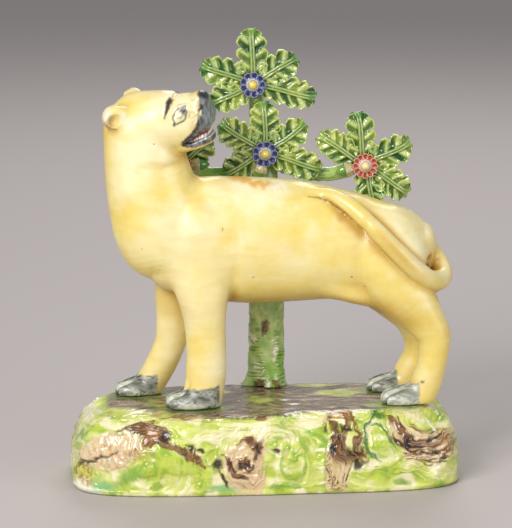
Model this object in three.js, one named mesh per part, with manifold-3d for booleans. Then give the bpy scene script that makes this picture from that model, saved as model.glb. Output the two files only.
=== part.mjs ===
// A press-moulded and glazed earthenware figure: a lioness stands on a rockwork mound, looking back over
// her shoulder, in front of a small tree that carries four oak-leaf sprays, each with a flower at its hub.
// Millimetres, +Z up. The origin is the centre of the mound's underside; the lioness's body points to -X.
import * as THREE from 'three';
import { LoftGeometry } from 'three/addons/geometries/LoftGeometry.js';
import { mergeVertices } from 'three/addons/utils/BufferGeometryUtils.js';
import Module from 'manifold-3d';

const wasm = await Module();
wasm.setup();

// Driving sizes of the whole figure.
const MOUND_LENGTH = 165;
const MOUND_DEPTH = 75;
const MOUND_HEIGHT = 32;
const JOINT_GAP = 0.3; // left between pieces that the glaze joins
const LIONESS_Y = 1; // her middle plane
const LEAF_HALF_WIDTH = 6.7;
const LEAF_THICKNESS = 1.3;
const LEAF_ARCH = 1.6; // how far a leaf rises from the plane of its spray
const FLOWER_RADIUS = 5.6;

const TAU = 2 * Math.PI;
const Y_AXIS = new THREE.Vector3(0, 1, 0);
const Z_AXIS = new THREE.Vector3(0, 0, 1);
const radians = THREE.MathUtils.degToRad;

// Solids

/** The closed solid that a geometry's triangles bound. */
function solidOf(geometry) {
  const bare = new THREE.BufferGeometry();
  bare.setAttribute('position', geometry.getAttribute('position'));
  bare.setIndex(geometry.index);
  const merged = mergeVertices(bare, 1e-4);
  return new wasm.Manifold(new wasm.Mesh({
    numProp: 3,
    vertProperties: merged.attributes.position.array,
    triVerts: new Uint32Array(merged.index.array),
  }));
}

function joined(geometries) {
  return geometries.map(solidOf).reduce((whole, part) => whole.add(part));
}

function geometryOf(solid) {
  const { numProp, numVert, vertProperties, triVerts } = solid.getMesh();
  const positions = new Float32Array(numVert * 3);
  for (let i = 0; i < numVert; i++) {
    positions.set(vertProperties.subarray(i * numProp, i * numProp + 3), i * 3);
  }
  const geometry = new THREE.BufferGeometry();
  geometry.setAttribute('position', new THREE.BufferAttribute(positions, 3));
  geometry.setIndex(new THREE.BufferAttribute(triVerts, 1));
  geometry.computeVertexNormals();
  return geometry;
}

/**
 * A modelled limb: elliptical sections strung on a smooth path, with rounded ends.
 * A station is [x, y, z, half its width across, half its depth]; across lies along the given axis.
 */
function limb(stations, { sides = 12, steps = 10, across = Y_AXIS, blunt = [1, 1] } = {}) {
  const path = new THREE.CatmullRomCurve3(stations.map(([x, y, z]) => new THREE.Vector3(x, y, z)));
  const sizes = new THREE.CatmullRomCurve3(stations.map(([, , , wide, deep]) => new THREE.Vector3(wide, deep, 0)));
  const section = (t, along, scale) => {
    const tangent = path.getTangent(t).normalize();
    const side = across.clone().addScaledVector(tangent, -across.dot(tangent)).normalize();
    const front = new THREE.Vector3().crossVectors(tangent, side);
    const size = sizes.getPoint(t);
    const centre = path.getPoint(t).addScaledVector(tangent, along);
    return Array.from({ length: sides }, (_, i) => {
      const angle = (TAU * i) / sides;
      return centre.clone()
        .addScaledVector(side, size.x * scale * Math.cos(angle))
        .addScaledVector(front, size.y * scale * Math.sin(angle));
    });
  };
  const cap = (t, direction, length) => [30, 62].map((degrees) => {
    const angle = radians(degrees);
    return section(t, direction * length * Math.sin(angle), Math.cos(angle));
  });
  const endRadius = (t) => Math.min(sizes.getPoint(t).x, sizes.getPoint(t).y);
  const sections = [
    ...cap(0, -1, endRadius(0) * blunt[0]).reverse(),
    ...Array.from({ length: steps + 1 }, (_, i) => section(i / steps, 0, 1)),
    ...cap(1, 1, endRadius(1) * blunt[1]),
  ];
  return new LoftGeometry(sections, { capStart: true, capEnd: true });
}

// The mound of rockwork: an upright wall with rounded corners that rolls over into a flat top.

const MOUND_SQUARENESS = 4.5;
const MOUND_WALL = [
  // [height as a share of the mound's, inset at the front and back, inset at the ends]
  [0, 1.2, 1.2],
  [0.06, 0, 0],
  [0.42, 0.2, 0.6],
  [0.62, 1.2, 2],
  [0.78, 3.4, 4.6],
  [0.9, 6, 8.6],
  [0.97, 8.8, 13],
  [1, 11.8, 18],
];

/** The mound's solid, optionally grown outwards and upwards by a margin that clears what stands on it. */
function moundSolid(margin = 0) {
  const sides = 56;
  const corner = (value) => Math.sign(value) * Math.abs(value) ** (2 / MOUND_SQUARENESS);
  const rings = MOUND_WALL.map(([share, insetY, insetX]) => Array.from({ length: sides }, (_, i) => {
    const angle = (TAU * i) / sides;
    return new THREE.Vector3(
      (MOUND_LENGTH / 2 - insetX + margin) * corner(Math.cos(angle)),
      (MOUND_DEPTH / 2 - insetY + margin) * corner(Math.sin(angle)),
      share * MOUND_HEIGHT + margin,
    );
  }));
  return solidOf(new LoftGeometry(rings, { capStart: true, capEnd: true }));
}

// The lioness

/** Barrel of the body, from the shoulders to the rump. */
function barrel() {
  return limb([
    [-46, LIONESS_Y, 104, 14, 19],
    [-30, LIONESS_Y, 102.5, 18, 25],
    [-10, LIONESS_Y, 100.7, 18.3, 26.8],
    [10, LIONESS_Y, 100, 18, 26],
    [30, LIONESS_Y, 98.4, 17.5, 23.4],
    [45, LIONESS_Y, 96.8, 17.4, 20.7],
    [58, LIONESS_Y, 96.4, 15, 17],
    [65, LIONESS_Y, 95, 10.5, 12.5],
  ], { sides: 18, steps: 13, blunt: [1, 0.7] });
}

/** Chest and neck, one upright swelling that carries the head. */
function neck() {
  return limb([
    [-38, LIONESS_Y, 90, 12, 10],
    [-39.5, LIONESS_Y, 97, 16, 18],
    [-42.3, LIONESS_Y, 108, 18, 21.4],
    [-46.8, LIONESS_Y, 121, 17, 19.3],
    [-49.6, 0.5, 134, 15.6, 17.4],
    [-51.5, -0.5, 147, 14.4, 15.8],
  ], { sides: 16, steps: 9 });
}

// The head is modelled level, facing +X, and then turned: backwards, nose up and leaning to the viewer.
const HEAD_CENTRE = new THREE.Vector3(-50, 0, 151);
const HEAD_TURN = radians(-21);
const HEAD_LIFT = radians(5);
const HEAD_LEAN = radians(14);

function headPlace() {
  const turn = new THREE.Matrix4().makeRotationZ(HEAD_TURN);
  const lift = new THREE.Matrix4().makeRotationY(-HEAD_LIFT);
  const lean = new THREE.Matrix4().makeRotationX(HEAD_LEAN);
  return turn.multiply(lift).multiply(lean).setPosition(HEAD_CENTRE);
}

function head() {
  const skullAndMuzzle = limb([
    [-11, 0, -1, 8.4, 9.5],
    [-5, 0, -0.4, 12.8, 13],
    [4, 0, 0, 13, 13.2],
    [11, 0, 0, 12, 13.2],
    [16, 0, 0.5, 10.3, 12.2],
    [21, 0, 2.6, 8.4, 9.7],
    [25.5, 0, 4, 7.8, 8],
  ], { sides: 16, steps: 11, blunt: [0.6, 0.5] });
  const lowerJaw = limb([
    [6, 0, -8, 7.5, 5],
    [15, 0, -9.6, 7, 4],
    [21.5, 0, -9.4, 6, 3],
    [26.8, 0, -8, 5, 2.4],
  ], { sides: 10, steps: 5, blunt: [1, 0.9] });
  const ears = [-1, 1].map((side) => limb([
    [side > 0 ? -7.8 : -8.8, side * 10.6, side > 0 ? 5.4 : 7, 5.2, 5.4],
    [side > 0 ? -5.4 : -6.4, side * 13.2, side > 0 ? 6.6 : 7.8, 4.6, 5.8],
  ], { sides: 10, steps: 1, across: Z_AXIS, blunt: [0.4, 0.4] }));
  return [skullAndMuzzle, lowerJaw, ...ears].map((part) => part.applyMatrix4(headPlace()));
}

const FRONT_LEGS = [
  // near
  [[-29, -7, 100, 9, 15], [-27, -9.5, 84, 8.5, 12], [-26, -10.8, 70, 7.3, 9], [-25.3, -11, 58, 6.6, 8.3],
    [-25.4, -11, 47, 6.6, 8.5], [-27, -11, 36, 6.8, 8.4]],
  // far
  [[-33, 9, 96, 9, 13], [-36, 11.5, 80, 8, 10], [-37.5, 13, 66, 7, 7.8], [-39, 13.5, 55, 6.4, 6.8],
    [-43.2, 13.5, 45, 6.2, 6.6], [-48, 13.5, 36.5, 6, 6.4]],
];
const HIND_LEGS = [
  // near
  [[49, -5, 104, 11, 13], [51, -7.5, 94, 12, 16.5], [55, -9, 84.6, 11.2, 15], [60.5, -10.5, 76, 9.4, 11.6],
    [66.4, -11, 68, 7.6, 8.8], [70.6, -11, 60.5, 6.6, 7.2], [70.2, -11, 50.5, 6, 6.2], [67.8, -11, 41.5, 6.2, 6.6],
    [65.6, -11, 36, 6, 6.6]],
  // far
  [[47, 7, 100, 10, 13], [48.5, 9.5, 90, 11, 15], [52.5, 11.5, 80.5, 10.5, 14], [58.6, 12.5, 71.5, 9, 10.6],
    [64.5, 13, 62.5, 7, 7.4], [67.4, 13, 54, 6.2, 6.4], [66.6, 13, 47, 6, 6], [64, 13, 41, 6, 6.4],
    [61.6, 13, 36, 6, 6.6]],
];
const PAWS = [
  { heel: [-24, -11], toe: [-38, -11], wide: 8, high: 7.2 },
  { heel: [-49, 13.5], toe: [-59, 13.5], wide: 7.2, high: 6.4 },
  { heel: [64, -11], toe: [52.5, -11.5], wide: 7.2, high: 6.8 },
  { heel: [58, 13], toe: [48.5, 12.5], wide: 7, high: 6 },
];

/** A paw: a low cushion from heel to toe. */
function paw({ heel, toe, wide, high }) {
  return limb([
    [heel[0], heel[1], MOUND_HEIGHT + 2.4, wide * 0.8, high * 0.62],
    [(heel[0] + toe[0]) / 2, (heel[1] + toe[1]) / 2, MOUND_HEIGHT + 2.2, wide, high * 0.82],
    [toe[0], toe[1], MOUND_HEIGHT + 1.6, wide * 0.9, high * 0.66],
  ], { sides: 14, steps: 4, blunt: [0.8, 1] });
}

/** The tail leaves the rump, hangs in a loop, and lies forward across the near flank on to the back. */
function tail() {
  return limb([
    [59, LIONESS_Y, 101, 4.4, 4.4],
    [66.8, LIONESS_Y, 97.6, 4.3, 4.3],
    [73, LIONESS_Y, 91, 4.3, 4.3],
    [75, -4, 85.2, 4.3, 4.3],
    [69.6, -13, 84.6, 4.4, 4.4],
    [62.8, -18, 89.4, 4.3, 4.3],
    [53.4, -20.4, 98.8, 3.9, 3.9],
    [43.4, -18.6, 109, 3.6, 3.6],
    [34.4, -12.8, 117, 3.5, 3.5],
    [26, -6, 120.4, 3.4, 3.4],
    [18, -2.5, 120.4, 3, 3],
  ], { sides: 8, steps: 20, across: Z_AXIS });
}

function lioness() {
  const legs = [...FRONT_LEGS, ...HIND_LEGS].map((stations) => limb(stations, { sides: 10, steps: 9 }));
  const whole = joined([barrel(), neck(), ...head(), ...legs, ...PAWS.map(paw), tail()]);
  return geometryOf(whole.subtract(moundSolid(JOINT_GAP)));
}

// The tree behind her: a trunk with a spreading foot, and a branch to either side.

const TREE_Y = 26;
const TREE_TOP_Y = 30.4;
const BRANCH_RADIUS = 3.1;

function tree() {
  const trunk = limb([
    [2.8, TREE_Y, 22, 8, 10.5],
    [2.8, TREE_Y, 36, 6.2, 8.6],
    [2.8, TREE_Y, 54, 5.6, 7.8],
    [3, TREE_Y, 90, 5.3, 7.4],
    [2.8, TREE_Y + 1.6, 106, 4.8, 6.8],
    [2.4, TREE_TOP_Y, 124, 3.8, 5.6],
    [1.4, TREE_TOP_Y + 0.4, 140, 3.6, 4.6],
    [-2.4, TREE_TOP_Y, 160, 2.8, 3.2],
  ], { sides: 10, steps: 10 });
  const branches = [
    [[3, 30, 130], [13, 29, 126], [25, 28.7, 123.4], [36, 28.7, 124.6], [45, 28.7, 128]],
    [[1, 30, 130], [-8, 29, 126], [-17, 28.7, 124], [-26, 28.7, 125.2], [-34.8, 28.7, 128.6]],
  ].map((path) => limb(path.map((point) => [...point, BRANCH_RADIUS, BRANCH_RADIUS]), { sides: 6, steps: 5 }));
  return geometryOf(joined([trunk, ...branches]).subtract(moundSolid(JOINT_GAP)));
}

// Sprays of oak leaves, pressed in one, three of them with an acorn beside the flower. A spray faces -Y.

const HUB_RADIUS = 5;
const HUB_FRONT = 2;
const HUB_BACK = 1.4;
const LEAF_OUTLINE = [
  // [share of the length from the hub, share of the half width, how far the edge is swept forwards, mm]
  [0, 0.3, 0],
  [0.16, 0.56, 0],
  [0.3, 0.98, 0.6],
  [0.4, 0.8, 0.4],
  [0.5, 1, 1.2],
  [0.61, 0.74, 0.6],
  [0.71, 0.88, 1.4],
  [0.82, 0.6, 1],
  [0.92, 0.74, 2],
  [0.97, 0.3, 1],
];

const ARCH_RATE = 6.75; // makes the highest point of the arch 1, two thirds along the leaf

/** One leaf lying along +X with its front to +Z: a lens-shaped section whose half width follows the lobes. */
function leaf(length) {
  const sections = LEAF_OUTLINE.map(([share, wide, sweep]) => {
    const x = share * length;
    const rise = LEAF_ARCH * (ARCH_RATE * share * share * (1 - share) - 0.5 * share ** 3);
    const half = LEAF_HALF_WIDTH * wide;
    const ridge = LEAF_THICKNESS * (1.1 - 0.5 * share);
    return [
      new THREE.Vector3(x + sweep, half, rise - 0.4),
      new THREE.Vector3(x, 0, rise + ridge),
      new THREE.Vector3(x + sweep, -half, rise - 0.4),
      new THREE.Vector3(x, 0, rise - LEAF_THICKNESS),
    ];
  });
  return new LoftGeometry(sections, { capStart: true, capEnd: true });
}

function acorn() {
  return limb([
    [5, 0, 1.2, 1.6, 1.6],
    [7, 0, 1.6, 3, 2.4],
    [9, 0, 1.8, 3.1, 2.5],
    [12, 0, 1.5, 1.6, 1.5],
  ], { sides: 8, steps: 4 });
}

const SPRAYS = {
  // where the flower sits, then each leaf's angle in degrees and length, then the acorn's angle
  top: { at: [-3.3, 25.3, 163.3], leaves: [[90, 24.4], [159, 23.8], [207, 20.2], [30, 22.8], [-13, 28.8]] },
  middle: { at: [1.8, 23.4, 133.9], leaves: [[90, 22.8], [145, 23.6], [208, 20.4], [35, 22.4], [-17, 26.4]], acorn: 254 },
  right: { at: [44.6, 23.6, 128.2], leaves: [[147, 24.2], [98, 23.8], [26, 23], [-33, 24], [-76, 18.4]], acorn: 194 },
  left: { at: [-34.6, 23.6, 129], leaves: [[39, 18.4], [83, 23.6], [152, 23.6], [213, 24], [256, 18.4]], acorn: 2 },
};

/** A place on a spray: turned by an angle in its plane, which stands upright and faces -Y. */
function onSpray([x, y, z], degrees) {
  const angle = radians(degrees);
  const along = new THREE.Vector3(Math.cos(angle), 0, Math.sin(angle));
  const across = new THREE.Vector3(-Math.sin(angle), 0, Math.cos(angle));
  return new THREE.Matrix4().makeBasis(along, across, new THREE.Vector3(0, -1, 0)).setPosition(x, y, z);
}

function spray({ at, leaves, acorn: acornAngle }) {
  const hub = new THREE.CylinderGeometry(HUB_RADIUS, HUB_RADIUS, HUB_FRONT + HUB_BACK, 12)
    .translate(at[0], at[1] + (HUB_BACK - HUB_FRONT) / 2, at[2]);
  const blades = leaves.map(([degrees, length]) => leaf(length).applyMatrix4(onSpray(at, degrees)));
  const nuts = acornAngle === undefined ? [] : [acorn().applyMatrix4(onSpray(at, acornAngle))];
  return geometryOf(joined([hub, ...blades, ...nuts]));
}

const BLUE_PETALS = 9;
const ORANGE_PETALS = 12;

/** A flower: a scalloped disc of petals with a round boss. */
function flower({ at }, petals) {
  const sides = petals * 2;
  const ring = (radius, height, scallop) => Array.from({ length: sides }, (_, i) => {
    const angle = (TAU * i) / sides;
    const reach = radius * (1 + scallop * Math.cos(petals * angle));
    return new THREE.Vector3(reach * Math.cos(angle), reach * Math.sin(angle), height);
  });
  const blossom = new LoftGeometry([
    ring(FLOWER_RADIUS * 0.66, 0, 0),
    ring(FLOWER_RADIUS * 0.9, 1.2, 0.1),
    ring(FLOWER_RADIUS * 0.52, 2.6, 0.05),
    ring(FLOWER_RADIUS * 0.2, 3.8, 0),
  ], { capStart: true, capEnd: true });
  const seat = [at[0], at[1] - HUB_FRONT - JOINT_GAP, at[2]];
  return geometryOf(solidOf(blossom.applyMatrix4(onSpray(seat, 0))));
}

// Finish

const GLAZES = {
  yellow: { color: 0xf0dc8c, roughness: 0.25, metalness: 0 },
  rockwork: { color: 0xb9c47a, roughness: 0.25, metalness: 0 },
  bark: { color: 0x9cb45e, roughness: 0.25, metalness: 0 },
  leaf: { color: 0x86ad4a, roughness: 0.25, metalness: 0 },
  blue: { color: 0x3b478f, roughness: 0.25, metalness: 0 },
  orange: { color: 0xc8704a, roughness: 0.25, metalness: 0 },
};

const figure = new THREE.Group();

function place(name, geometry, glaze) {
  const mesh = new THREE.Mesh(geometry, new THREE.MeshStandardMaterial(GLAZES[glaze]));
  mesh.name = name;
  figure.add(mesh);
}

place('mound_base', geometryOf(moundSolid()), 'rockwork');
place('lioness', lioness(), 'yellow');
place('tree_trunk', tree(), 'bark');
for (const [side, layout] of Object.entries(SPRAYS)) {
  const blue = side === 'top' || side === 'middle';
  place(`leaf_spray_${side}`, spray(layout), 'leaf');
  place(`flower_${side}`, flower(layout, blue ? BLUE_PETALS : ORANGE_PETALS), blue ? 'blue' : 'orange');
}

export default figure;
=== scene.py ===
import bpy
import numpy as np
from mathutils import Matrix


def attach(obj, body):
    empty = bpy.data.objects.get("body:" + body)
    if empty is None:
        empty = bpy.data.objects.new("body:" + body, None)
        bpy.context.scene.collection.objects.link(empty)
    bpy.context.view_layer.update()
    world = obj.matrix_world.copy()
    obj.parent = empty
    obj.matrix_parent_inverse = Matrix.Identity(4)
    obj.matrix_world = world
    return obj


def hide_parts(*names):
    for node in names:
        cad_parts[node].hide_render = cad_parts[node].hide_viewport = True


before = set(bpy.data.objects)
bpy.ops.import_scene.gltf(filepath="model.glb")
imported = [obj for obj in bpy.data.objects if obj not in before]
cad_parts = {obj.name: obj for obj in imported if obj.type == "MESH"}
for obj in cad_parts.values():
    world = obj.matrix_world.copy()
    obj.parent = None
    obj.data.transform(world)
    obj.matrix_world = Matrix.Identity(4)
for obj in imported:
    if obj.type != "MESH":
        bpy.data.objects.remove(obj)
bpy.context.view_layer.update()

# The mound
# A hollow lump of rockwork, press-moulded in white earthenware, with an upright wall that rolls over into a
# flat top. It is brushed with lime green, cream and brown under a clear glaze, more plainly at the back.

MM = 0.001
TAU = 2 * np.pi
MOUND_LENGTH = 165.0
MOUND_DEPTH = 75.0
MOUND_HEIGHT = 32.0
MOUND_SQUARENESS = 4.5
JOINT_GAP = 0.3
WALL_HEIGHTS = [0, 0.06, 0.42, 0.62, 0.78, 0.9, 0.97, 1]
WALL_INSETS_DEPTH = [1.2, 0, 0.2, 1.2, 3.4, 6, 8.8, 11.8]
WALL_INSETS_LENGTH = [1.2, 0, 0.6, 2, 4.6, 8.6, 13, 18]
FRONT_FACE = -36.5  # the plane on which the front's rocks are laid out, mm


def glaze(code):
    """A colour written as red, green and blue in hexadecimal, as linear light."""
    value = np.array([int(code[i:i + 2], 16) for i in (0, 2, 4)]) / 255
    return np.where(value <= 0.04045, value / 12.92, ((value + 0.055) / 1.055) ** 2.4)


def smooth(value):
    """Eases from 0 to 1: 3t^2 - 2t^3 of the value held between 0 and 1."""
    t = np.clip(value, 0, 1)
    return t * t * (3 - 2 * t)


def ripple(points, wavelength, seed, waves=14):
    """Soft unevenness from about -1 to 1: the mean of sine waves of one rough wavelength in seeded directions."""
    rng = np.random.default_rng(seed)
    axes = rng.normal(size=(waves, points.shape[1]))
    axes *= (TAU / wavelength) * rng.uniform(0.6, 1.5, (waves, 1)) / np.linalg.norm(axes, axis=1, keepdims=True)
    phases = rng.uniform(0, TAU, waves)
    return np.sin(points @ axes.T + phases).sum(axis=1) * (1.6 / np.sqrt(waves)) * 0.75


def stroke(at, path, soft=0.5):
    """
    1 on a brush stroke and 0 beside it: the distance to a broken line, less a half width that changes along it.
    A point of the path is [across, up, half width].
    """
    path = np.array(path, dtype=float)
    nearest = np.full(len(at), 1e9)
    for start, end in zip(path[:-1], path[1:]):
        run = end[:2] - start[:2]
        share = np.clip(((at - start[:2]) @ run) / (run @ run), 0, 1)
        gap = np.linalg.norm(at - start[:2] - share[:, None] * run, axis=1)
        nearest = np.minimum(nearest, gap - start[2] - share * (end[2] - start[2]))
    return smooth(0.5 - nearest / (2 * soft))


def region(at, corners, soft=1.0):
    """1 inside a many-sided patch and 0 outside: the signed distance to its outline, eased over a soft edge."""
    corners = np.array(corners, dtype=float)
    inside = np.zeros(len(at), dtype=bool)
    nearest = np.full(len(at), 1e9)
    for start, end in zip(corners, np.roll(corners, -1, axis=0)):
        run = end - start
        share = np.clip(((at - start) @ run) / (run @ run), 0, 1)
        nearest = np.minimum(nearest, np.linalg.norm(at - start - share[:, None] * run, axis=1))
        crosses = (start[1] > at[:, 1]) != (end[1] > at[:, 1])
        rise = end[1] - start[1] if end[1] != start[1] else 1e-9
        inside ^= crosses & (at[:, 0] < start[0] + (at[:, 1] - start[1]) * run[0] / rise)
    return smooth(0.5 + np.where(inside, nearest, -nearest) / (2 * soft))


def spot(at, centre, radii, turn=0.0, soft=0.3):
    """1 inside a turned ellipse and 0 outside, eased over a share of its size."""
    c, s = np.cos(np.radians(turn)), np.sin(np.radians(turn))
    off = (at - np.array(centre)) @ np.array([[c, -s], [s, c]]) / np.array(radii)
    return smooth((1 + soft - np.linalg.norm(off, axis=1)) / (2 * soft))


def lay(paint, colour, cover):
    """Brushes a colour over the paint where the cover is 1."""
    return paint + (colour - paint) * cover[:, None]


def piece(name, points, faces, masks=None, paint=None):
    """
    One smooth-shaded mesh from points in millimetres and arrays of faces, riding on the figure.
    Masks hold one number for each point, and paint one colour and its cover.
    """
    mesh = bpy.data.meshes.new(name)
    corners = np.concatenate([f.ravel() for f in faces]).astype(np.int32)
    sizes = np.concatenate([np.full(len(f), f.shape[1]) for f in faces])
    mesh.vertices.add(len(points))
    mesh.loops.add(len(corners))
    mesh.polygons.add(len(sizes))
    mesh.vertices.foreach_set("co", (np.asarray(points) * MM).astype(np.float32).ravel())
    mesh.loops.foreach_set("vertex_index", corners)
    mesh.polygons.foreach_set("loop_start", (np.cumsum(sizes) - sizes).astype(np.int32))
    mesh.update(calc_edges=True)
    mesh.validate()
    mesh.shade_smooth()
    for mask, values in (masks or {}).items():
        layer = mesh.attributes.new(mask, "FLOAT", "POINT")
        layer.data.foreach_set("value", np.asarray(values, dtype=np.float32))
    if paint is not None:
        layer = mesh.attributes.new("paint", "FLOAT_COLOR", "POINT")
        layer.data.foreach_set("color", np.asarray(paint, dtype=np.float32).ravel())
    shape = bpy.data.objects.new(name, mesh)
    bpy.context.scene.collection.objects.link(shape)
    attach(shape, "root")
    return shape


def grid_faces(rows, columns, closed=True, start=0):
    """Quadrilaterals between neighbouring rows of a grid; a closed grid joins its last column to its first."""
    index = start + np.arange(rows * columns).reshape(rows, columns)
    if closed:
        index = np.hstack([index, index[:, :1]])
    return np.stack([index[:-1, :-1], index[:-1, 1:], index[1:, 1:], index[1:, :-1]], axis=-1).reshape(-1, 4)


def oblong_rim(front, back, ends):
    """
    Points round the curve |x|^n + |y|^n = 1, where n is the mound's squareness, evenly spaced on each side
    but closer at the front, which carries the finest rocks.
    """
    turn = np.linspace(0, TAU, 20001)
    c, s = np.cos(turn), np.sin(turn)
    reach = (np.abs(c) ** MOUND_SQUARENESS + np.abs(s) ** MOUND_SQUARENESS) ** (-1 / MOUND_SQUARENESS)
    x, y = reach * c, reach * s
    step = np.hypot(np.diff(x) * MOUND_LENGTH / 2, np.diff(y) * MOUND_DEPTH / 2)
    weight = np.where(y[:-1] < -0.8, front, np.where(y[:-1] > 0.8, back, ends))
    length = np.concatenate([[0], np.cumsum(step * weight)])
    places = np.linspace(0, length[-1], int(length[-1]), endpoint=False)
    return np.interp(places, length, x), np.interp(places, length, y)


def mound_grid():
    """
    The mound's skin: round the rim by up the wall and over the top. Each row is the rim drawn in by the wall's
    insets at its height; over the flat top the rows shrink towards the centre.
    """
    x, y = oblong_rim(front=2.5, back=0.7, ends=1.3)
    climb = np.concatenate([np.linspace(0, 0.06, 4)[:-1], np.linspace(0.06, 1, 92)])
    heights = np.interp(climb, [0, 0.06, 0.7, 1], [0, 0.06, 0.86, 1])
    inset_y = np.interp(heights, WALL_HEIGHTS, WALL_INSETS_DEPTH)
    inset_x = np.interp(heights, WALL_HEIGHTS, WALL_INSETS_LENGTH)
    shoulder = np.where(y < 0, np.interp(x * MOUND_LENGTH / 2, [-70, -45, -25, 0, 14, 30, 70],
                                         [1.05, 0.85, 0.5, 0.5, 0.95, 1.15, 1.1]), 1)
    share = np.concatenate([np.ones(len(heights)), 1 - np.linspace(0, 1, 34)[1:-1] ** 0.8])
    inset_y = np.concatenate([inset_y, np.full(32, inset_y[-1])])
    inset_x = np.concatenate([inset_x, np.full(32, inset_x[-1])])
    heights = np.concatenate([heights, np.ones(32)])
    points = np.empty((len(share), len(x), 3))
    points[..., 0] = (MOUND_LENGTH / 2 - inset_x[:, None]) * x * share[:, None]
    points[..., 1] = (MOUND_DEPTH / 2 - inset_y[:, None] * shoulder) * y * share[:, None]
    points[..., 2] = MOUND_HEIGHT * heights[:, None]
    return points


def outward(points):
    """Unit normals of a closed grid: the cross product of its steps along the rows and up the rows."""
    along = np.roll(points, -1, axis=1) - np.roll(points, 1, axis=1)
    up = np.gradient(points, axis=0)
    normal = np.cross(along, up)
    return normal / np.maximum(np.linalg.norm(normal, axis=-1, keepdims=True), 1e-9)


mound = mound_grid()
mound_rows, mound_columns = mound.shape[:2]
mound_normals = outward(mound).reshape(-1, 3)
mound = mound.reshape(-1, 3)
setback = mound[:, 1] - FRONT_FACE
wander = np.stack([ripple(mound, 11, 1), ripple(mound, 9, 2)], axis=1)
fine_wander = np.stack([ripple(mound, 3.4, 3), ripple(mound, 3.1, 4)], axis=1)
# The front's layout: across to the right and up, both slanted back over the shoulder and the top.
face = np.stack([mound[:, 0] - 0.079 * setback, mound[:, 2] + 0.22 * setback], axis=1)
face = face + 0.6 * wander + 0.3 * fine_wander
in_front = smooth((8 - mound[:, 1]) / 12) * smooth((36.2 - mound[:, 2] - 0.12 * setback) / 2)
top_edge = np.interp(mound[:, 0], [-70, -45, -25, 0, 14, 70], [26, 12, 0.5, 0.5, 8, 12])
on_top = smooth((mound[:, 2] - 31.2) / 0.7) * smooth((32.5 + mound[:, 1] - top_edge) / 2.5)
on_wall = 1 - on_top

WING_ROCK = [(-64, 29.2), (-60, 30.6), (-56, 31.6), (-49.7, 32.8), (-46, 30.8), (-41.6, 27.4), (-41.4, 24.8), (-44.5, 23),
             (-49.7, 21.8), (-52.6, 22.8), (-53.2, 25), (-55, 27), (-58, 28.2)]
PINK_ROCK = [(-80, 23.4), (-72.4, 25.8), (-67, 27.8), (-57.2, 28.4), (-53, 25), (-51.5, 21.5), (-55, 17.5),
             (-60, 12.8), (-67, 11), (-73.6, 12.6), (-81, 14), (-82, 18)]
COLUMN_ROCK = [(22.4, 32), (25, 35.8), (34, 34.2), (36.4, 28), (38.8, 19), (40.8, 14.4), (37.6, 9.4), (34, 8.6),
               (31, 4), (25, 4), (24.4, 12), (24, 22.5), (24.6, 26.4), (23, 28.6)]
RIGHT_ROCK = [(48.4, 33), (53.5, 31), (61, 26.6), (66, 25), (69.8, 25), (74.4, 27), (77.5, 20), (73.8, 11.4),
              (68, 12), (62, 11.5), (57, 13.6), (54.2, 19.4), (51.8, 23.4), (49.6, 28)]
SWIRLS = {  # centre, reach, upright stretch, turns of the spiral
    "left eddy": ((-9.4, 13.4), 15.0, 1.2, 0.5), "curl": ((8.5, 15.5), 11.0, 1.6, 0.5), "arcs": ((2.5, 21), 12.0, 1.0, 0.0),
    "ring": ((47, 22.4), 10.5, 1.5, 0.0), "bowl": ((65, 34), 22.0, 1.0, 0.0), "left mound": ((-46.8, 10), 10.0, 0.9, 0.0),
    "low mound": ((-33.6, 8), 8.0, 0.8, 0.0), "wing": ((-52, 12), 22.0, 1.0, 0.0), "corner": ((-88, 12), 14.0, 1.0, 0.0)}

# Each brush stroke follows the rock it is on: two coordinates, across the strokes and along them.
rocks = {name: region(face, corners, 0.8) * in_front for name, corners in [
    ("wing", WING_ROCK), ("pink", PINK_ROCK), ("column", COLUMN_ROCK), ("right", RIGHT_ROCK)]}
wing, pink, column, right_rock = rocks.values()
across = face[:, 1] + 1.8 * ripple(face * [0.45, 1], 15, 21)
along = face[:, 0].copy()
eddies = {}
for name, (centre, reach, stretch, spiral) in SWIRLS.items():
    off = (face - np.array(centre)) / np.array([1, stretch])
    distance, bearing = np.linalg.norm(off, axis=1), np.arctan2(off[:, 1], off[:, 0])
    eddies[name] = distance, bearing
    hold = smooth((reach - distance) / 5) * in_front
    across = across + (distance + spiral * bearing - across) * hold
    along = along + (bearing * 7 - along) * hold
leaning = pink * (1 - wing)
across = across + (face[:, 0] + 0.28 * face[:, 1] - across) * leaning
along = along + (face[:, 1] - along) * leaning
upright = column * 0.9
across = across + (face[:, 0] + 1.2 * np.sin(face[:, 1] / 2.6) - across) * upright
along = along + (face[:, 1] - along) * upright
strokes = np.stack([across, 0.2 * along], axis=1)
fine_streaks, streaks, broad_streaks = (ripple(strokes, size, 24 + i) for i, size in enumerate([0.95, 1.9, 4.6]))


def feathered(cover):
    """A patch whose edge runs out into single brush strokes."""
    return smooth(1.5 * cover - 0.25 + 0.3 * streaks * smooth(4 * cover))


wing_paint = feathered(region(face, WING_ROCK, 1.4) * in_front)
pink_paint = feathered(region(face, PINK_ROCK, 3.0) * in_front)
column_paint = feathered(region(face, COLUMN_ROCK, 2.4) * in_front)
right_paint = feathered(region(face, RIGHT_ROCK, 3.4) * in_front)

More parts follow.
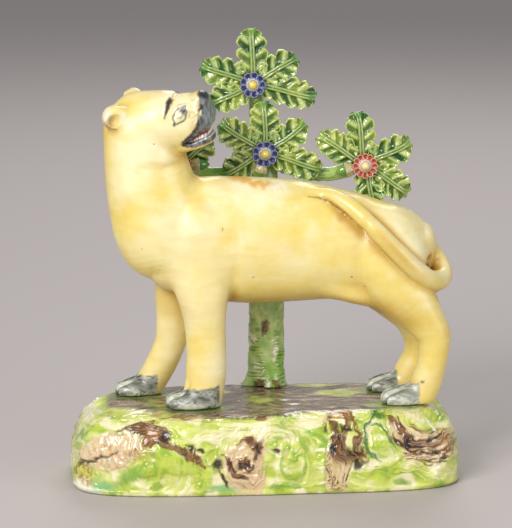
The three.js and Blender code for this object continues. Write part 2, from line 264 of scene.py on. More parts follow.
swirl_reach, swirl_turn = eddies["left eddy"]
swirl = smooth((13.5 - swirl_reach) / 3) * in_front
swirl_wave = 0.5 + 0.5 * np.cos(swirl_turn + TAU * swirl_reach / 7.0 - 1.2)
curl_reach, curl_turn = eddies["curl"]
curl = smooth((10 - curl_reach) / 4) * in_front
curl_wave = 0.5 + 0.5 * np.cos(curl_turn - TAU * curl_reach / 4.6 + 2)
EDDY_PINK = [(-19, 19), (-15, 24), (-9.6, 26), (-4, 24.6), (-2, 19), (-3.4, 12), (-1.6, 6), (-3, 1.5), (-12, 0.5), (-15, 3),
             (-18.6, 8), (-20.4, 14)]
EDDY_BROWN = [
    [(-15.6, 21.6, 0.3), (-11.4, 24, 1.0), (-7.6, 23, 1.6), (-5.4, 19.8, 1.7), (-6, 16.2, 1.0), (-8, 14.4, 0.3)],
    [(-21, 17.6, 0.2), (-18.2, 15.8, 0.9), (-16.2, 12.6, 1.4), (-14.2, 9, 1.1), (-11, 6.4, 0.8), (-7.4, 5, 0.2)],
    [(-13.6, 17, 0.3), (-11.4, 15.4, 1.2), (-9.4, 12.6, 1.5), (-9, 10, 0.8), (-10.4, 8.6, 0.2)],
    [(-22.4, 9.6, 0.3), (-20.2, 8, 1.0), (-18.6, 6, 0.5), (-17.6, 3.6, 0.2)]]
eddy_pink = feathered(region(face, EDDY_PINK, 3.2) * in_front)
eddy_brown = np.maximum.reduce([stroke(face, path, 0.8) for path in EDDY_BROWN]) * in_front
arcs = smooth((11 - eddies["arcs"][0]) / 2) * smooth((eddies["arcs"][0] - 3.5) / 2) * smooth(
    (face[:, 1] - 21) / 3) * in_front
arc_wave = 0.5 + 0.5 * np.cos(TAU * eddies["arcs"][0] / 2.6)
ring_reach = eddies["ring"][0]
ring = stroke(face, [(48.6, 37.4, 0.5), (44, 36.4, 1.2), (41.4, 32.2, 0.7), (39.6, 26.5, 0.8), (39.2, 21.5, 1.0),
                     (41.4, 16.4, 0.8), (46, 12.8, 0.3)], 0.6) * in_front
crevice = stroke(face, [(-83, 13.4, 0.3), (-80, 14.6, 1.0), (-74, 15.8, 0.9), (-69, 17, 0.5), (-63, 19.8, 0.1)]) * in_front
green_mound = spot(face, (-46.8, 14.2), (7.8, 6.6), 8, 0.2) * in_front
green_lobe = spot(face, (-34.6, 12.4), (6.6, 4), -14, 0.25) * in_front
root = stroke(face, [(-46.8, 22.6, 0.4), (-42, 21.6, 1.5), (-35.5, 19, 2.0), (-30, 15.8, 1.5), (-27.4, 12.4, 0.5)]) * in_front
pit = spot(face, (-22.3, 12.6), (1.9, 2.8), -20, 0.3) * in_front
DARK_KNOTS = [
    ((-43.4, 25.2), (2.8, 1.9), -30), ((-33.6, 20.8), (2.4, 1.2), -20), ((-28.8, 19.3), (2.4, 1.0), -10),
    ((-11.2, 13), (1.7, 2.6), -35), ((-15.4, 12.4), (0.9, 2.2), 30), ((-5.6, 19.4), (0.8, 2.6), 10),
    ((30.8, 28), (3.6, 2.3), -8), ((26.2, 19), (1.5, 2.4), 0), ((34, 17.4), (5.0, 1.3), -18), ((35.6, 12.2), (2.6, 2.2), -20),
    ((57, 21.4), (1.2, 3.2), 24), ((68, 22.2), (2.6, 1.3), 10), ((68.6, 17), (2.6, 1.2), -20), ((72.4, 12.6), (2.2, 1.7), 30),
    ((2, 18), (2.2, 0.8), -20), ((-36, 18.2), (1.4, 0.6), -30), ((60.6, 17.4), (3.4, 0.7), -28), ((28, 24), (0.8, 1.6), 0)]
dark_knots = np.maximum.reduce([spot(face, centre, radii, turn, 0.35) for centre, radii, turn in DARK_KNOTS]) * in_front

# The ends and the back: a few rounded rocks, set out by their place round the rim.
around = np.arctan2(mound[:, 1] / MOUND_DEPTH, mound[:, 0] / MOUND_LENGTH)
round_rim = np.stack([np.degrees(around) + 4 * wander[:, 0], mound[:, 2] + 1.2 * wander[:, 1]], axis=1)
BACK_ROCKS = [(168, 15, 9, 8), (138, 20, 7, 8), (112, 11, 8, 6), (84, 18, 9, 9), (60, 10, 8, 5), (38, 19, 8, 8),
              (14, 12, 9, 7), (-8, 21, 8, 6)]
back_rocks = np.maximum.reduce([
    spot(round_rim, (degrees, up), (wide, high), 0, 0.22) for degrees, up, wide, high in BACK_ROCKS
]) * (1 - in_front) * on_wall
hollow_run = smooth((ripple(mound, 15, 9) - 0.3) / 0.5)
back_lines = ripple(np.stack([round_rim[:, 0] * 0.25, mound[:, 2] + 2 * wander[:, 1]], axis=1), 2.2, 27)

relief = (
    -0.7 + 0.4 * ripple(mound, 20, 5) + 0.15 * ripple(mound, 6, 6) + 0.16 * streaks
    + 0.9 * (wing - 0.2) + 0.5 * leaning + 0.55 * column + 0.45 * right_rock
    - 1.5 * crevice - 1.0 * dark_knots - 1.6 * pit
    + 0.8 * green_mound + 0.5 * green_lobe + 0.6 * root
    + 0.7 * eddy_brown - 0.4 * swirl * swirl_wave + curl * (0.6 * curl_wave - 0.4) + 0.3 * arcs * (arc_wave - 0.5)
    + 0.55 * ring - 0.5 * smooth((ring_reach - 3) / 3) * smooth((8 - ring_reach) / 2) * in_front
    + 0.8 * back_rocks * (1 + 0.3 * back_lines) - 0.5 * hollow_run * (1 - in_front)
    + 0.2 * leaning * np.sin(across * 2.4)
)
relief = np.clip(relief, -2.8, 0) * on_wall * smooth(mound[:, 2] / 2.5) - 0.12 * on_top * (1 + ripple(mound, 8, 7))
mound = mound + mound_normals * relief[:, None]
mound[:, 2] = np.clip(mound[:, 2], 0, MOUND_HEIGHT)

CREAM_GLAZE = glaze("ece3bc")
PALE_LIME = glaze("cfd67c")
LIME = glaze("b0c044")
LEAF_GREEN = glaze("7da63c")
DEEP_GREEN = glaze("1f6a2a")
SEA_GREEN = glaze("7fb584")
ROCK_PINK = glaze("dcbfa2")
ROCK_BROWN = glaze("6a4630")
ROCK_GOLD = glaze("a9743a")
ROCK_DARK = glaze("241a18")
TOP_BROWN = glaze("84705a")
WHITE_GLAZE = glaze("f3f0e2")

mottle = ripple(face * np.array([1, 1.5]), 13, 11)
dabs = 0.7 * broad_streaks + 0.5 * ripple(face, 7, 12)
mound_paint = np.tile(PALE_LIME, (len(mound), 1))
mound_paint = lay(mound_paint, CREAM_GLAZE, smooth(0.3 + 0.6 * mottle + 0.5 * broad_streaks))
mound_paint = lay(mound_paint, LIME, 0.85 * smooth(0.15 - 0.7 * mottle + 0.6 * dabs))
mound_paint = lay(mound_paint, LEAF_GREEN, 0.65 * smooth(0.8 * dabs - 0.3 + 0.5 * streaks) * smooth(0.6 - mottle))
mound_paint = lay(mound_paint, CREAM_GLAZE, 0.7 * spot(face, (-12, 27), (16, 4), -6, 0.5) * smooth(0.8 + streaks) * in_front)
mound_paint = lay(mound_paint, WHITE_GLAZE, 0.8 * spot(face, (-76, 3.6), (7, 2.2), -20, 0.5) * in_front)
mound_paint = lay(mound_paint, SEA_GREEN, 0.8 * np.maximum(spot(face, (-70, 5), (5.5, 2), -10, 0.5),
                                                           spot(face, (-18, 3.4), (8, 2.2), 0, 0.6)) * in_front)
mound_paint = lay(mound_paint, LEAF_GREEN, 0.85 * np.maximum.reduce([
    spot(face, (-58, 9), (7, 3), 25, 0.5), spot(face, (-80, 27), (5, 1.2), 25, 0.5),
    spot(face, (7, 2.6), (7, 1.5), 0, 0.4), spot(face, (54.6, 4.4), (3.2, 1.6), 0, 0.4),
    stroke(face, [(15, 27, 0.8), (21, 24.5, 1.6), (22.4, 21, 0.8), (19, 19.6, 0.8)]),
    stroke(face, [(22.6, 23, 0.5), (22.2, 12, 0.9), (21.6, 6, 0.4)]),
    stroke(face, [(-52.5, 19, 0.3), (-53.5, 13, 0.8), (-50, 8, 0.4)])]) * in_front)
mound_paint = lay(mound_paint, LIME, 0.85 * np.maximum(green_mound, green_lobe))
mound_paint = lay(mound_paint, LEAF_GREEN, 0.7 * np.maximum(green_mound, green_lobe) * smooth(0.1 + dabs + 0.5 * streaks))
mound_paint = lay(mound_paint, LIME, 0.7 * curl * curl_wave)
mound_paint = lay(mound_paint, LEAF_GREEN, 0.6 * curl * smooth(2.2 * curl_wave - 1.3))
mound_paint = lay(mound_paint, CREAM_GLAZE, 0.8 * arcs * arc_wave)
mound_paint = lay(mound_paint, ROCK_GOLD, 0.4 * arcs * smooth(0.4 - arc_wave))
mound_paint = lay(mound_paint, LIME, 0.75 * smooth((6 - ring_reach) / 2) * in_front)
mound_paint = lay(mound_paint, LEAF_GREEN, 0.6 * smooth(streaks * 1.6 - 0.2) * smooth((7 - ring_reach) / 2) * in_front)
mound_paint = lay(mound_paint, CREAM_GLAZE, 0.6 * smooth(dabs * 1.4) * smooth((5 - ring_reach) / 2) * in_front)
mound_paint = lay(mound_paint, DEEP_GREEN, 0.95 * ring)
mound_paint = lay(mound_paint, DEEP_GREEN, 0.85 * np.maximum(
    spot(face, (45, 33.4), (3.6, 1.6), -20, 0.4),
    stroke(face, [(42.6, 30.4, 0.3), (45.4, 28.6, 0.7), (49, 24.6, 0.5), (51.6, 19.4, 0.3)], 0.4)) * in_front)
foot_of_column = region(face, [(22.6, 18), (32.5, 16), (33, 2), (24, 0), (22, 6)], 1.2) * in_front
mound_paint = lay(mound_paint, ROCK_PINK, 0.92 * np.maximum.reduce([
    pink_paint, right_paint, eddy_pink, 0.85 * feathered(foot_of_column)]))
mound_paint = lay(mound_paint, WHITE_GLAZE, 0.5 * pink * smooth(0.4 * streaks - 0.2 * mottle))
hatched_corner = np.maximum.reduce([
    spot(face, (-79, 10), (5.5, 3.8), -30, 0.35), region(face, [(70, 27), (76, 27), (79, 16), (74, 12), (70.5, 18)], 1),
    0.7 * spot(face, (-54, 20), (6, 3.4), 30, 0.4)]) * in_front
mound_paint = lay(mound_paint, ROCK_GOLD, 0.65 * hatched_corner * smooth(0.7 + fine_streaks))
brown = np.maximum.reduce([
    wing_paint, 0.92 * column_paint * smooth((face[:, 1] - 10) / 6) * smooth(1.1 + broad_streaks), 0.9 * feathered(root),
    0.92 * feathered(eddy_brown), right_paint * smooth(0.9 * broad_streaks + 0.4 * streaks),
    0.95 * feathered(stroke(face, [(48, 33, 0.5), (53, 28, 1.8), (57, 21, 1.4)], 1.2) * in_front),
    0.6 * foot_of_column * smooth(1.4 * streaks - 0.6), 0.7 * back_rocks * smooth(0.5 + back_lines)])
mound_paint = lay(mound_paint, ROCK_PINK, 0.6 * back_rocks)
mound_paint = lay(mound_paint, ROCK_BROWN, brown)
mound_paint = lay(mound_paint, ROCK_GOLD, 0.8 * brown * smooth(0.15 + 1.3 * streaks))
mound_paint = lay(mound_paint, ROCK_PINK, 0.55 * brown * smooth(1.5 * fine_streaks - 0.7))
# Painted highlights: gold on the tops of the wing rock and the column rock.
mound_paint = lay(mound_paint, ROCK_GOLD, 0.8 * np.maximum(spot(face, (-49.4, 27.6), (4.4, 1.8), -15, 0.5),
                                                          spot(face, (27.4, 33.4), (5, 2.2), 5, 0.5)) * in_front)
rocky = np.clip(brown + 0.5 * hatched_corner + 0.5 * pink_paint + 0.5 * right_paint + 0.45 * eddy_pink
                + 0.4 * foot_of_column, 0, 1)
mound_paint = lay(mound_paint, ROCK_BROWN, 0.6 * rocky * smooth(1.6 * fine_streaks - 0.5))
mound_paint = lay(mound_paint, ROCK_DARK, 0.85 * brown * smooth(1.9 * streaks - 1.1))
# The black in the pit is painted shade inside its hole.
mound_paint = lay(mound_paint, ROCK_DARK, 0.94 * np.maximum.reduce([dark_knots * smooth(1.1 + 0.8 * streaks), pit, 0.85 * crevice]))
# Painted highlights: small white glints and streaks on the rocks and the green mound.
mound_paint = lay(mound_paint, WHITE_GLAZE, 0.85 * np.maximum.reduce([
    stroke(face, path, 0.35) for path in [
        [(-76.5, 34, 0.1), (-72, 38, 0.5)], [(-74, 31, 0.2), (-70, 36, 0.4)], [(-48.9, 16.6, 0.7), (-48.2, 16.6, 0.7)],
        [(65, 33, 0.3), (69.4, 26, 0.8)], [(24, 31.6, 0.3), (30, 31.2, 0.5)], [(-74, 25.4, 0.3), (-69, 27, 0.6)],
        [(-50.6, 4.2, 0.5), (-50.2, 4.4, 0.5)], [(-25.6, 16.6, 0.3), (-25, 13.6, 0.3)]]
]) * in_front)
rim_line = np.interp(face[:, 0], [-72, -62, -50, -41, -29, -19, -9, 12, 22, 40, 66],
                     [35.6, 36.6, 34.8, 33.6, 33.4, 34.4, 33.6, 35.6, 36.8, 38, 38.4])
rim_stroke = smooth((1.3 - np.abs(face[:, 1] - rim_line - 0.4)) / 1.1) * smooth((mound[:, 1] + 44) / 3) * smooth(
    (4 - mound[:, 1]) / 10)
mound_paint = lay(mound_paint, ROCK_BROWN, 0.8 * rim_stroke * smooth((46 - np.abs(face[:, 0] + 10)) / 14))
mound_paint = lay(mound_paint, ROCK_GOLD, 0.55 * rim_stroke * smooth(0.3 + dabs))

TOP_LOZENGES = [
    ([(22, 8), (32, 15.5), (45, 9), (34, 0)], 0.9), ([(-9, 0), (-3.6, 5.4), (2.6, -2.6), (-1.8, -9.6), (-5, -7)], 0.7),
    ([(-53, -3), (-47.7, 2), (-43, -6), (-46, -13)], 0.6), ([(38, -14), (52, -10), (64, -13), (52, -19)], 0.7),
    ([(-30, 14), (-20, 20), (-12, 15), (-20, 9)], 0.7), ([(12, 24), (26, 28), (36, 23), (24, 19)], 0.7)]
plan = mound[:, :2] + 0.9 * wander
lozenges = np.maximum.reduce([region(plan, corners, 1.2) * cover for corners, cover in TOP_LOZENGES])
wood = np.stack([0.14 * plan[:, 0], plan[:, 1] + 2.2 * ripple(plan * [0.5, 1], 22, 28)], axis=1)
wood_lines, wood_bands = ripple(wood, 1.5, 15), ripple(wood, 4.4, 16)
top_paint = lay(np.tile(TOP_BROWN, (len(mound), 1)), ROCK_PINK, 0.55 * smooth(0.1 + wood_bands))
top_paint = lay(top_paint, ROCK_BROWN, 0.75 * smooth(1.3 * wood_lines - 0.1))
top_paint = lay(top_paint, ROCK_DARK, 0.75 * smooth(1.6 * wood_lines - 0.5 * wood_bands - 1.0))
top_paint = lay(top_paint, PALE_LIME, lozenges)
top_paint = lay(top_paint, LIME, 0.7 * lozenges * smooth(0.5 + dabs))
paw_shade = np.maximum.reduce([spot(mound[:, :2], centre, radii, 0, 0.3) for centre, radii in [
    ((-31, -11), (15, 10.5)), ((-54, 13.5), (13, 9.5)), ((58, -11.4), (13.5, 9.5)), ((53, 13), (12.5, 9.5))]])
top_paint = lay(top_paint, LEAF_GREEN, 0.6 * paw_shade)
top_paint = lay(top_paint, PALE_LIME, 0.7 * smooth((mound[:, 0] - 60) / 8))
top_paint = lay(top_paint, ROCK_DARK, 0.8 * stroke(plan, [(8, 17, 1.0), (18, 19.4, 1.4), (30, 19, 0.9), (40, 17, 0.2)]))
top_paint = lay(top_paint, ROCK_DARK, 0.7 * stroke(plan, [(-8, 16, 0.6), (-2, 13.6, 1.2), (6, 14.6, 0.8)]))
mound_paint = lay(mound_paint, top_paint, on_top)
# Painted shadow: a dark band round the foot, where the mound stands on the table.
contact_shadow = smooth((0.9 - mound[:, 2]) / 0.8)
mound_paint = lay(mound_paint, ROCK_DARK, 0.7 * contact_shadow)

mound_masks = {
    "hatching": np.clip(0.25 * in_front + rocky, 0, 1) * on_wall,
    "grain": on_top * (1 - 0.8 * lozenges),
    "across": across,
    "along": along,
}
centre_point = np.array([[0, 0, MOUND_HEIGHT - 0.12], [0, 0, 0]])
last_ring = (mound_rows - 1) * mound_columns + np.arange(mound_columns)
first_ring = np.arange(mound_columns)
tip, underside_centre = len(mound), len(mound) + 1
mound_faces = [
    grid_faces(mound_rows, mound_columns),
    np.stack([last_ring, np.roll(last_ring, -1), np.full(mound_columns, tip)], axis=1),
    np.stack([np.roll(first_ring, -1), first_ring, np.full(mound_columns, underside_centre)], axis=1),
]
mound_paint = np.vstack([mound_paint, TOP_BROWN, WHITE_GLAZE])
mound_base = piece(
    "rockwork_mound", np.vstack([mound, centre_point]), mound_faces,
    {name: np.append(values, [values[-1], 0]) for name, values in mound_masks.items()},
    np.hstack([mound_paint, np.ones((len(mound_paint), 1))]))
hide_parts("mound_base")


def wire(tree, kind, inputs=None, **settings):
    """A node of a kind; inputs maps a socket to a value, or to the output that feeds it."""
    node = tree.nodes.new(kind)
    for setting, value in settings.items():
        setattr(node, setting, value)
    for socket, value in (inputs or {}).items():
        if isinstance(value, bpy.types.NodeSocket):
            tree.links.new(value, node.inputs[socket])
        else:
            node.inputs[socket].default_value = value
    return node


def effect(name, inputs, outputs):
    """An empty node group with named sockets, and its two end nodes."""
    tree = bpy.data.node_groups.new(name, "ShaderNodeTree")
    for label, kind, value in inputs:
        socket = tree.interface.new_socket(label, in_out="INPUT", socket_type=kind)
        if value is not None:
            socket.default_value = value
    for label, kind in outputs:
        tree.interface.new_socket(label, in_out="OUTPUT", socket_type=kind)
    return tree, tree.nodes.new("NodeGroupInput"), tree.nodes.new("NodeGroupOutput")


def glaze_mottling():
    """Thick and thin places in a brushed glaze: broad clouds, fine clouds, and the height they give the surface."""
    tree, source, sink = effect(
        "glaze mottling",
        [("Vector", "NodeSocketVector", None), ("Breadth", "NodeSocketFloat", 70.0)],
        [("Clouds", "NodeSocketFloat"), ("Fine", "NodeSocketFloat"), ("Height", "NodeSocketFloat")])
    broad = wire(tree, "ShaderNodeTexNoise", {
        "Vector": source.outputs["Vector"], "Scale": source.outputs["Breadth"], "Detail": 3.0, "Roughness": 0.55})
    fine = wire(tree, "ShaderNodeTexNoise", {
        "Vector": source.outputs["Vector"], "Scale": 520.0, "Detail": 4.0, "Roughness": 0.6})
    clouds = wire(tree, "ShaderNodeMapRange", {
        "Value": broad.outputs["Fac"], "From Min": 0.35, "From Max": 0.68}, interpolation_type="SMOOTHSTEP")
    height = wire(tree, "ShaderNodeMath", {
        0: broad.outputs["Fac"], 1: wire(tree, "ShaderNodeMath", {0: fine.outputs["Fac"], 1: 0.18},
                                         operation="MULTIPLY").outputs[0]}, operation="ADD")
    tree.links.new(clouds.outputs["Result"], sink.inputs["Clouds"])
    tree.links.new(fine.outputs["Fac"], sink.inputs["Fine"])
    tree.links.new(height.outputs[0], sink.inputs["Height"])
    return tree


def kiln_specks():
    """Small dark grains fired into the glaze: round cells of a Voronoi pattern, of which few are kept."""
    tree, source, sink = effect(
        "kiln specks",
        [("Vector", "NodeSocketVector", None), ("Scale", "NodeSocketFloat", 160.0), ("Rarity", "NodeSocketFloat", 0.9)],
        [("Specks", "NodeSocketFloat")])
    cells = wire(tree, "ShaderNodeTexVoronoi", {"Vector": source.outputs["Vector"], "Scale": source.outputs["Scale"]})
    near = wire(tree, "ShaderNodeMath", {0: cells.outputs["Distance"], 1: 0.055}, operation="LESS_THAN")
    pick = wire(tree, "ShaderNodeSeparateColor", {"Color": cells.outputs["Color"]})
    few = wire(tree, "ShaderNodeMath", {0: pick.outputs[0], 1: source.outputs["Rarity"]}, operation="GREATER_THAN")
    both = wire(tree, "ShaderNodeMath", {0: near.outputs[0], 1: few.outputs[0]}, operation="MULTIPLY")
    tree.links.new(both.outputs[0], sink.inputs["Specks"])
    return tree


def brush_lines():
    """Fine lines left by a loaded brush: noise stretched by the vector it is given, sharpened to light and dark."""
    tree, source, sink = effect(
        "brush lines",
        [("Vector", "NodeSocketVector", None), ("Scale", "NodeSocketFloat", 1.0)],
        [("Lines", "NodeSocketFloat")])
    hairs = wire(tree, "ShaderNodeTexNoise", {
        "Vector": source.outputs["Vector"], "Scale": source.outputs["Scale"], "Detail": 3.0, "Roughness": 0.6,
        "Distortion": 0.3})
    lines = wire(tree, "ShaderNodeMapRange", {
        "Value": hairs.outputs["Fac"], "From Min": 0.42, "From Max": 0.62}, interpolation_type="SMOOTHSTEP")
    tree.links.new(lines.outputs["Result"], sink.inputs["Lines"])
    return tree


MOTTLING = glaze_mottling()
SPECKS = kiln_specks()
BRUSH_LINES = brush_lines()


def group(tree, effect_tree, inputs):
    """One use of an effect in a material."""
    node = wire(tree, "ShaderNodeGroup", node_tree=effect_tree)
    for socket, value in inputs.items():
        if isinstance(value, bpy.types.NodeSocket):
            tree.links.new(value, node.inputs[socket])
        else:
            node.inputs[socket].default_value = value
    return node


def blend(tree, share, below, above, mode="MIX"):
    """Two colours mixed by a share; a plain colour is three numbers."""
    plain = lambda c: c if isinstance(c, bpy.types.NodeSocket) else (*c, 1.0)
    return wire(tree, "ShaderNodeMix", {0: share, 6: plain(below), 7: plain(above)},
                data_type="RGBA", blend_type=mode).outputs[2]


def times(tree, a, b):
    """The product of two numbers or outputs."""
    return wire(tree, "ShaderNodeMath", {0: a, 1: b}, operation="MULTIPLY", use_clamp=True).outputs[0]


def mask_of(tree, name):
    """A piece's own mask."""
    return wire(tree, "ShaderNodeAttribute", attribute_name=name).outputs["Fac"]


def new_glaze(name):
    """A material with its shader, its node tree and the object's own coordinates."""
    material = bpy.data.materials.new(name)
    material.use_nodes = True
    tree = material.node_tree
    shader = tree.nodes["Principled BSDF"]
    place = wire(tree, "ShaderNodeTexCoord").outputs["Object"]
    return material, tree, shader, place


def finish_glaze(tree, shader, colour, mottling, rough=(0.16, 0.34), bump=0.25, depth=0.00025, coat=0.45):
    """Joins colour, an uneven gloss and a soft ripple to the shader, under a clear coat."""
    tree.links.new(colour, shader.inputs["Base Color"])
    gloss = wire(tree, "ShaderNodeMapRange", {
        "Value": mottling.outputs["Fine"], "From Min": 0.3, "From Max": 0.7, "To Min": rough[0], "To Max": rough[1]})
    tree.links.new(gloss.outputs["Result"], shader.inputs["Roughness"])
    dents = wire(tree, "ShaderNodeBump", {
        "Strength": bump, "Distance": depth, "Height": mottling.outputs["Height"]})
    tree.links.new(dents.outputs["Normal"], shader.inputs["Normal"])
    shader.inputs["Coat Weight"].default_value = coat
    shader.inputs["Coat Roughness"].default_value = 0.09


def rockwork_glaze():
    """Hand-painted patches from the paint layer, with fine brush lines that follow each rock's own strokes."""
    material, tree, shader, place = new_glaze("rockwork glaze")
    mottling = group(tree, MOTTLING, {"Vector": place, "Breadth": 130.0})
    painted = wire(tree, "ShaderNodeAttribute", attribute_name="paint").outputs["Color"]
    followed = wire(tree, "ShaderNodeCombineXYZ", {0: mask_of(tree, "across"), 1: mask_of(tree, "along")}).outputs[0]
    bristles = wire(tree, "ShaderNodeMapping", {"Vector": followed, "Scale": (1.3, 0.16, 1)})
    level = wire(tree, "ShaderNodeMapping", {"Vector": place, "Rotation": (0, 0, 0.08), "Scale": (80, 900, 500)})
    hatch = group(tree, BRUSH_LINES, {"Vector": bristles.outputs[0], "Scale": 1.0}).outputs["Lines"]
    grain = group(tree, BRUSH_LINES, {"Vector": level.outputs[0], "Scale": 1.0}).outputs["Lines"]
    colour = blend(tree, times(tree, mottling.outputs["Clouds"], 0.35), painted, (1.0, 1.0, 0.86), "SOFT_LIGHT")
    colour = blend(tree, times(tree, mottling.outputs["Fine"], 0.5), colour, (0.42, 0.46, 0.2), "SOFT_LIGHT")
    hatching = times(tree, mask_of(tree, "hatching"), hatch)
    colour = blend(tree, times(tree, hatching, 0.8), colour, (0.16, 0.1, 0.06), "SOFT_LIGHT")
    colour = blend(tree, times(tree, times(tree, mask_of(tree, "grain"), grain), 0.5), colour, glaze("4f4034"))
    specks = group(tree, SPECKS, {"Vector": place, "Scale": 260.0, "Rarity": 0.93}).outputs["Specks"]
    colour = blend(tree, times(tree, specks, 0.7), colour, WHITE_GLAZE)
    finish_glaze(tree, shader, colour, mottling, rough=(0.14, 0.32), bump=0.35, depth=0.0004, coat=0.4)
    return material


mound_base.data.materials.append(rockwork_glaze())

# The lioness
# Pressed in a two-part mould with her neck and head, then given legs, a rolled tail and a slit mouth, and all the
# joins smoothed with slip. She is dipped in a buttery glaze; face and paws are brushed in black and brown.

LIONESS_Y = 1.0
BARREL = [
    [-46, 1, 104, 14, 19], [-30, 1, 102.5, 18, 25], [-10, 1, 100.7, 18.3, 26.8], [10, 1, 100, 18, 26],
    [30, 1, 98.4, 17.5, 23.4], [45, 1, 96.8, 17.4, 20.7], [58, 1, 96.4, 15, 17], [65, 1, 95, 10.5, 12.5]]
NECK = [
    [-38, 1, 90, 12, 10], [-39.5, 1, 97, 16, 18], [-42.3, 1, 108, 18, 21.4], [-46.8, 1, 121, 17, 19.3],
    [-49.6, 0.5, 134, 15.6, 17.4], [-51.5, -0.5, 147, 14.4, 15.8]]
FRONT_LEGS = [
    [[-29, -7, 100, 9, 15], [-27, -9.5, 84, 8.5, 12], [-26, -10.8, 70, 7.3, 9], [-25.3, -11, 58, 6.6, 8.3],
     [-25.4, -11, 47, 6.6, 8.5], [-27, -11, 36, 6.8, 8.4]],
    [[-33, 9, 96, 9, 13], [-36, 11.5, 80, 8, 10], [-37.5, 13, 66, 7, 7.8], [-39, 13.5, 55, 6.4, 6.8],
     [-43.2, 13.5, 45, 6.2, 6.6], [-48, 13.5, 36.5, 6, 6.4]]]
HIND_LEGS = [
    [[49, -5, 104, 11, 13], [51, -7.5, 94, 12, 16.5], [55, -9, 84.6, 11.2, 15], [60.5, -10.5, 76, 9.4, 11.6],
     [66.4, -11, 68, 7.6, 8.8], [70.6, -11, 60.5, 6.6, 7.2], [70.2, -11, 50.5, 6, 6.2], [67.8, -11, 41.5, 6.2, 6.6],
     [65.6, -11, 36, 6, 6.6]],
    [[47, 7, 100, 10, 13], [48.5, 9.5, 90, 11, 15], [52.5, 11.5, 80.5, 10.5, 14], [58.6, 12.5, 71.5, 9, 10.6],
     [64.5, 13, 62.5, 7, 7.4], [67.4, 13, 54, 6.2, 6.4], [66.6, 13, 47, 6, 6], [64, 13, 41, 6, 6.4],
     [61.6, 13, 36, 6, 6.6]]]
PAWS = [  # heel, toe, half width, height
    ((-24, -11), (-38, -11), 8, 7.2), ((-49, 13.5), (-59, 13.5), 7.2, 6.4),
    ((64, -11), (52.5, -11.5), 7.2, 6.8), ((58, 13), (48.5, 12.5), 7, 6)]
TAIL = [
    [59, 1, 101, 4.4, 4.4], [66.8, 1, 97.6, 4.3, 4.3], [73, 1, 91, 4.3, 4.3], [75, -4, 85.2, 4.3, 4.3],
    [69.6, -13, 84.6, 4.4, 4.4], [62.8, -18, 89.4, 4.3, 4.3], [53.4, -20.4, 98.8, 3.9, 3.9],
    [43.4, -18.6, 109, 3.6, 3.6], [34.4, -12.8, 117, 3.5, 3.5], [26, -6.6, 120.2, 3.3, 3.3], [17, -2.4, 119.6, 2.6, 2.6]]
FLANK_FOLD = [[27, -6, 82, 5, 5], [37, -7.5, 79, 5, 4.6], [47, -8, 77.6, 5, 5.4]]
HEAD_CENTRE = np.array([-50.0, 0.0, 151.0])
HEAD_ANGLES = np.radians([14, -5, -21])  # leaning to the viewer, nose up, turned back
SKULL = [
    [-11, 0, -1, 8.4, 9.5], [-5, 0, -0.4, 12.8, 13], [4, 0, 0, 13, 13.2], [11, 0, 0, 12, 13.2],
    [16, 0, 0.5, 10.3, 12.2], [21, 0, 2.6, 8.4, 9.7], [25.5, 0, 4, 7.8, 8]]
LOWER_JAW = [[6, 0, -8, 7.5, 5], [15, 0, -9.6, 7, 4], [21.5, 0, -9.0, 6, 3.2], [27, 0, -7.2, 5, 3]]
EARS = [
    [[-8.8, -10.6, 7, 5.2, 5.4], [-6.4, -13.2, 7.8, 4.6, 5.8]],
    [[-7.8, 10.6, 5.4, 5.2, 5.4], [-5.4, 13.2, 6.6, 4.6, 5.8]]]


def turned(angles):
    """The rotation that leans about X, then lifts about Y, then turns about Z."""
    (cx, cy, cz), (sx, sy, sz) = np.cos(angles), np.sin(angles)
    lean = np.array([[1, 0, 0], [0, cx, -sx], [0, sx, cx]])
    lift = np.array([[cy, 0, sy], [0, 1, 0], [-sy, 0, cy]])
    turn = np.array([[cz, -sz, 0], [sz, cz, 0], [0, 0, 1]])
    return turn @ lift @ lean


HEAD_TURN = turned(HEAD_ANGLES)


def smooth_path(stations, samples):
    """
    A curve through the stations, sampled evenly: a cubic between neighbours whose slopes come from the stations
    on either side, weighted by the square roots of their distances.
    """
    stations = np.array(stations, dtype=float)
    ends = [2 * stations[0] - stations[1], 2 * stations[-1] - stations[-2]]
    p = np.vstack([ends[0], stations, ends[1]])
    gap = np.sqrt(np.linalg.norm(np.diff(p[:, :3], axis=0), axis=1))[:, None]
    u = np.linspace(0, len(stations) - 1, samples)
    i = np.minimum(u.astype(int), len(stations) - 2)
    w = (u - i)[:, None]
    before, here, after, beyond = p[i], p[i + 1], p[i + 2], p[i + 3]
    g0, g1, g2 = gap[i], gap[i + 1], gap[i + 2]
    leave = ((here - before) / g0 - (after - before) / (g0 + g1) + (after - here) / g1) * g1
    arrive = ((after - here) / g1 - (beyond - here) / (g1 + g2) + (beyond - after) / g2) * g1
    return ((2 * w ** 3 - 3 * w ** 2 + 1) * here + (w ** 3 - 2 * w ** 2 + w) * leave
            + (3 * w ** 2 - 2 * w ** 3) * after + (w ** 3 - w ** 2) * arrive)


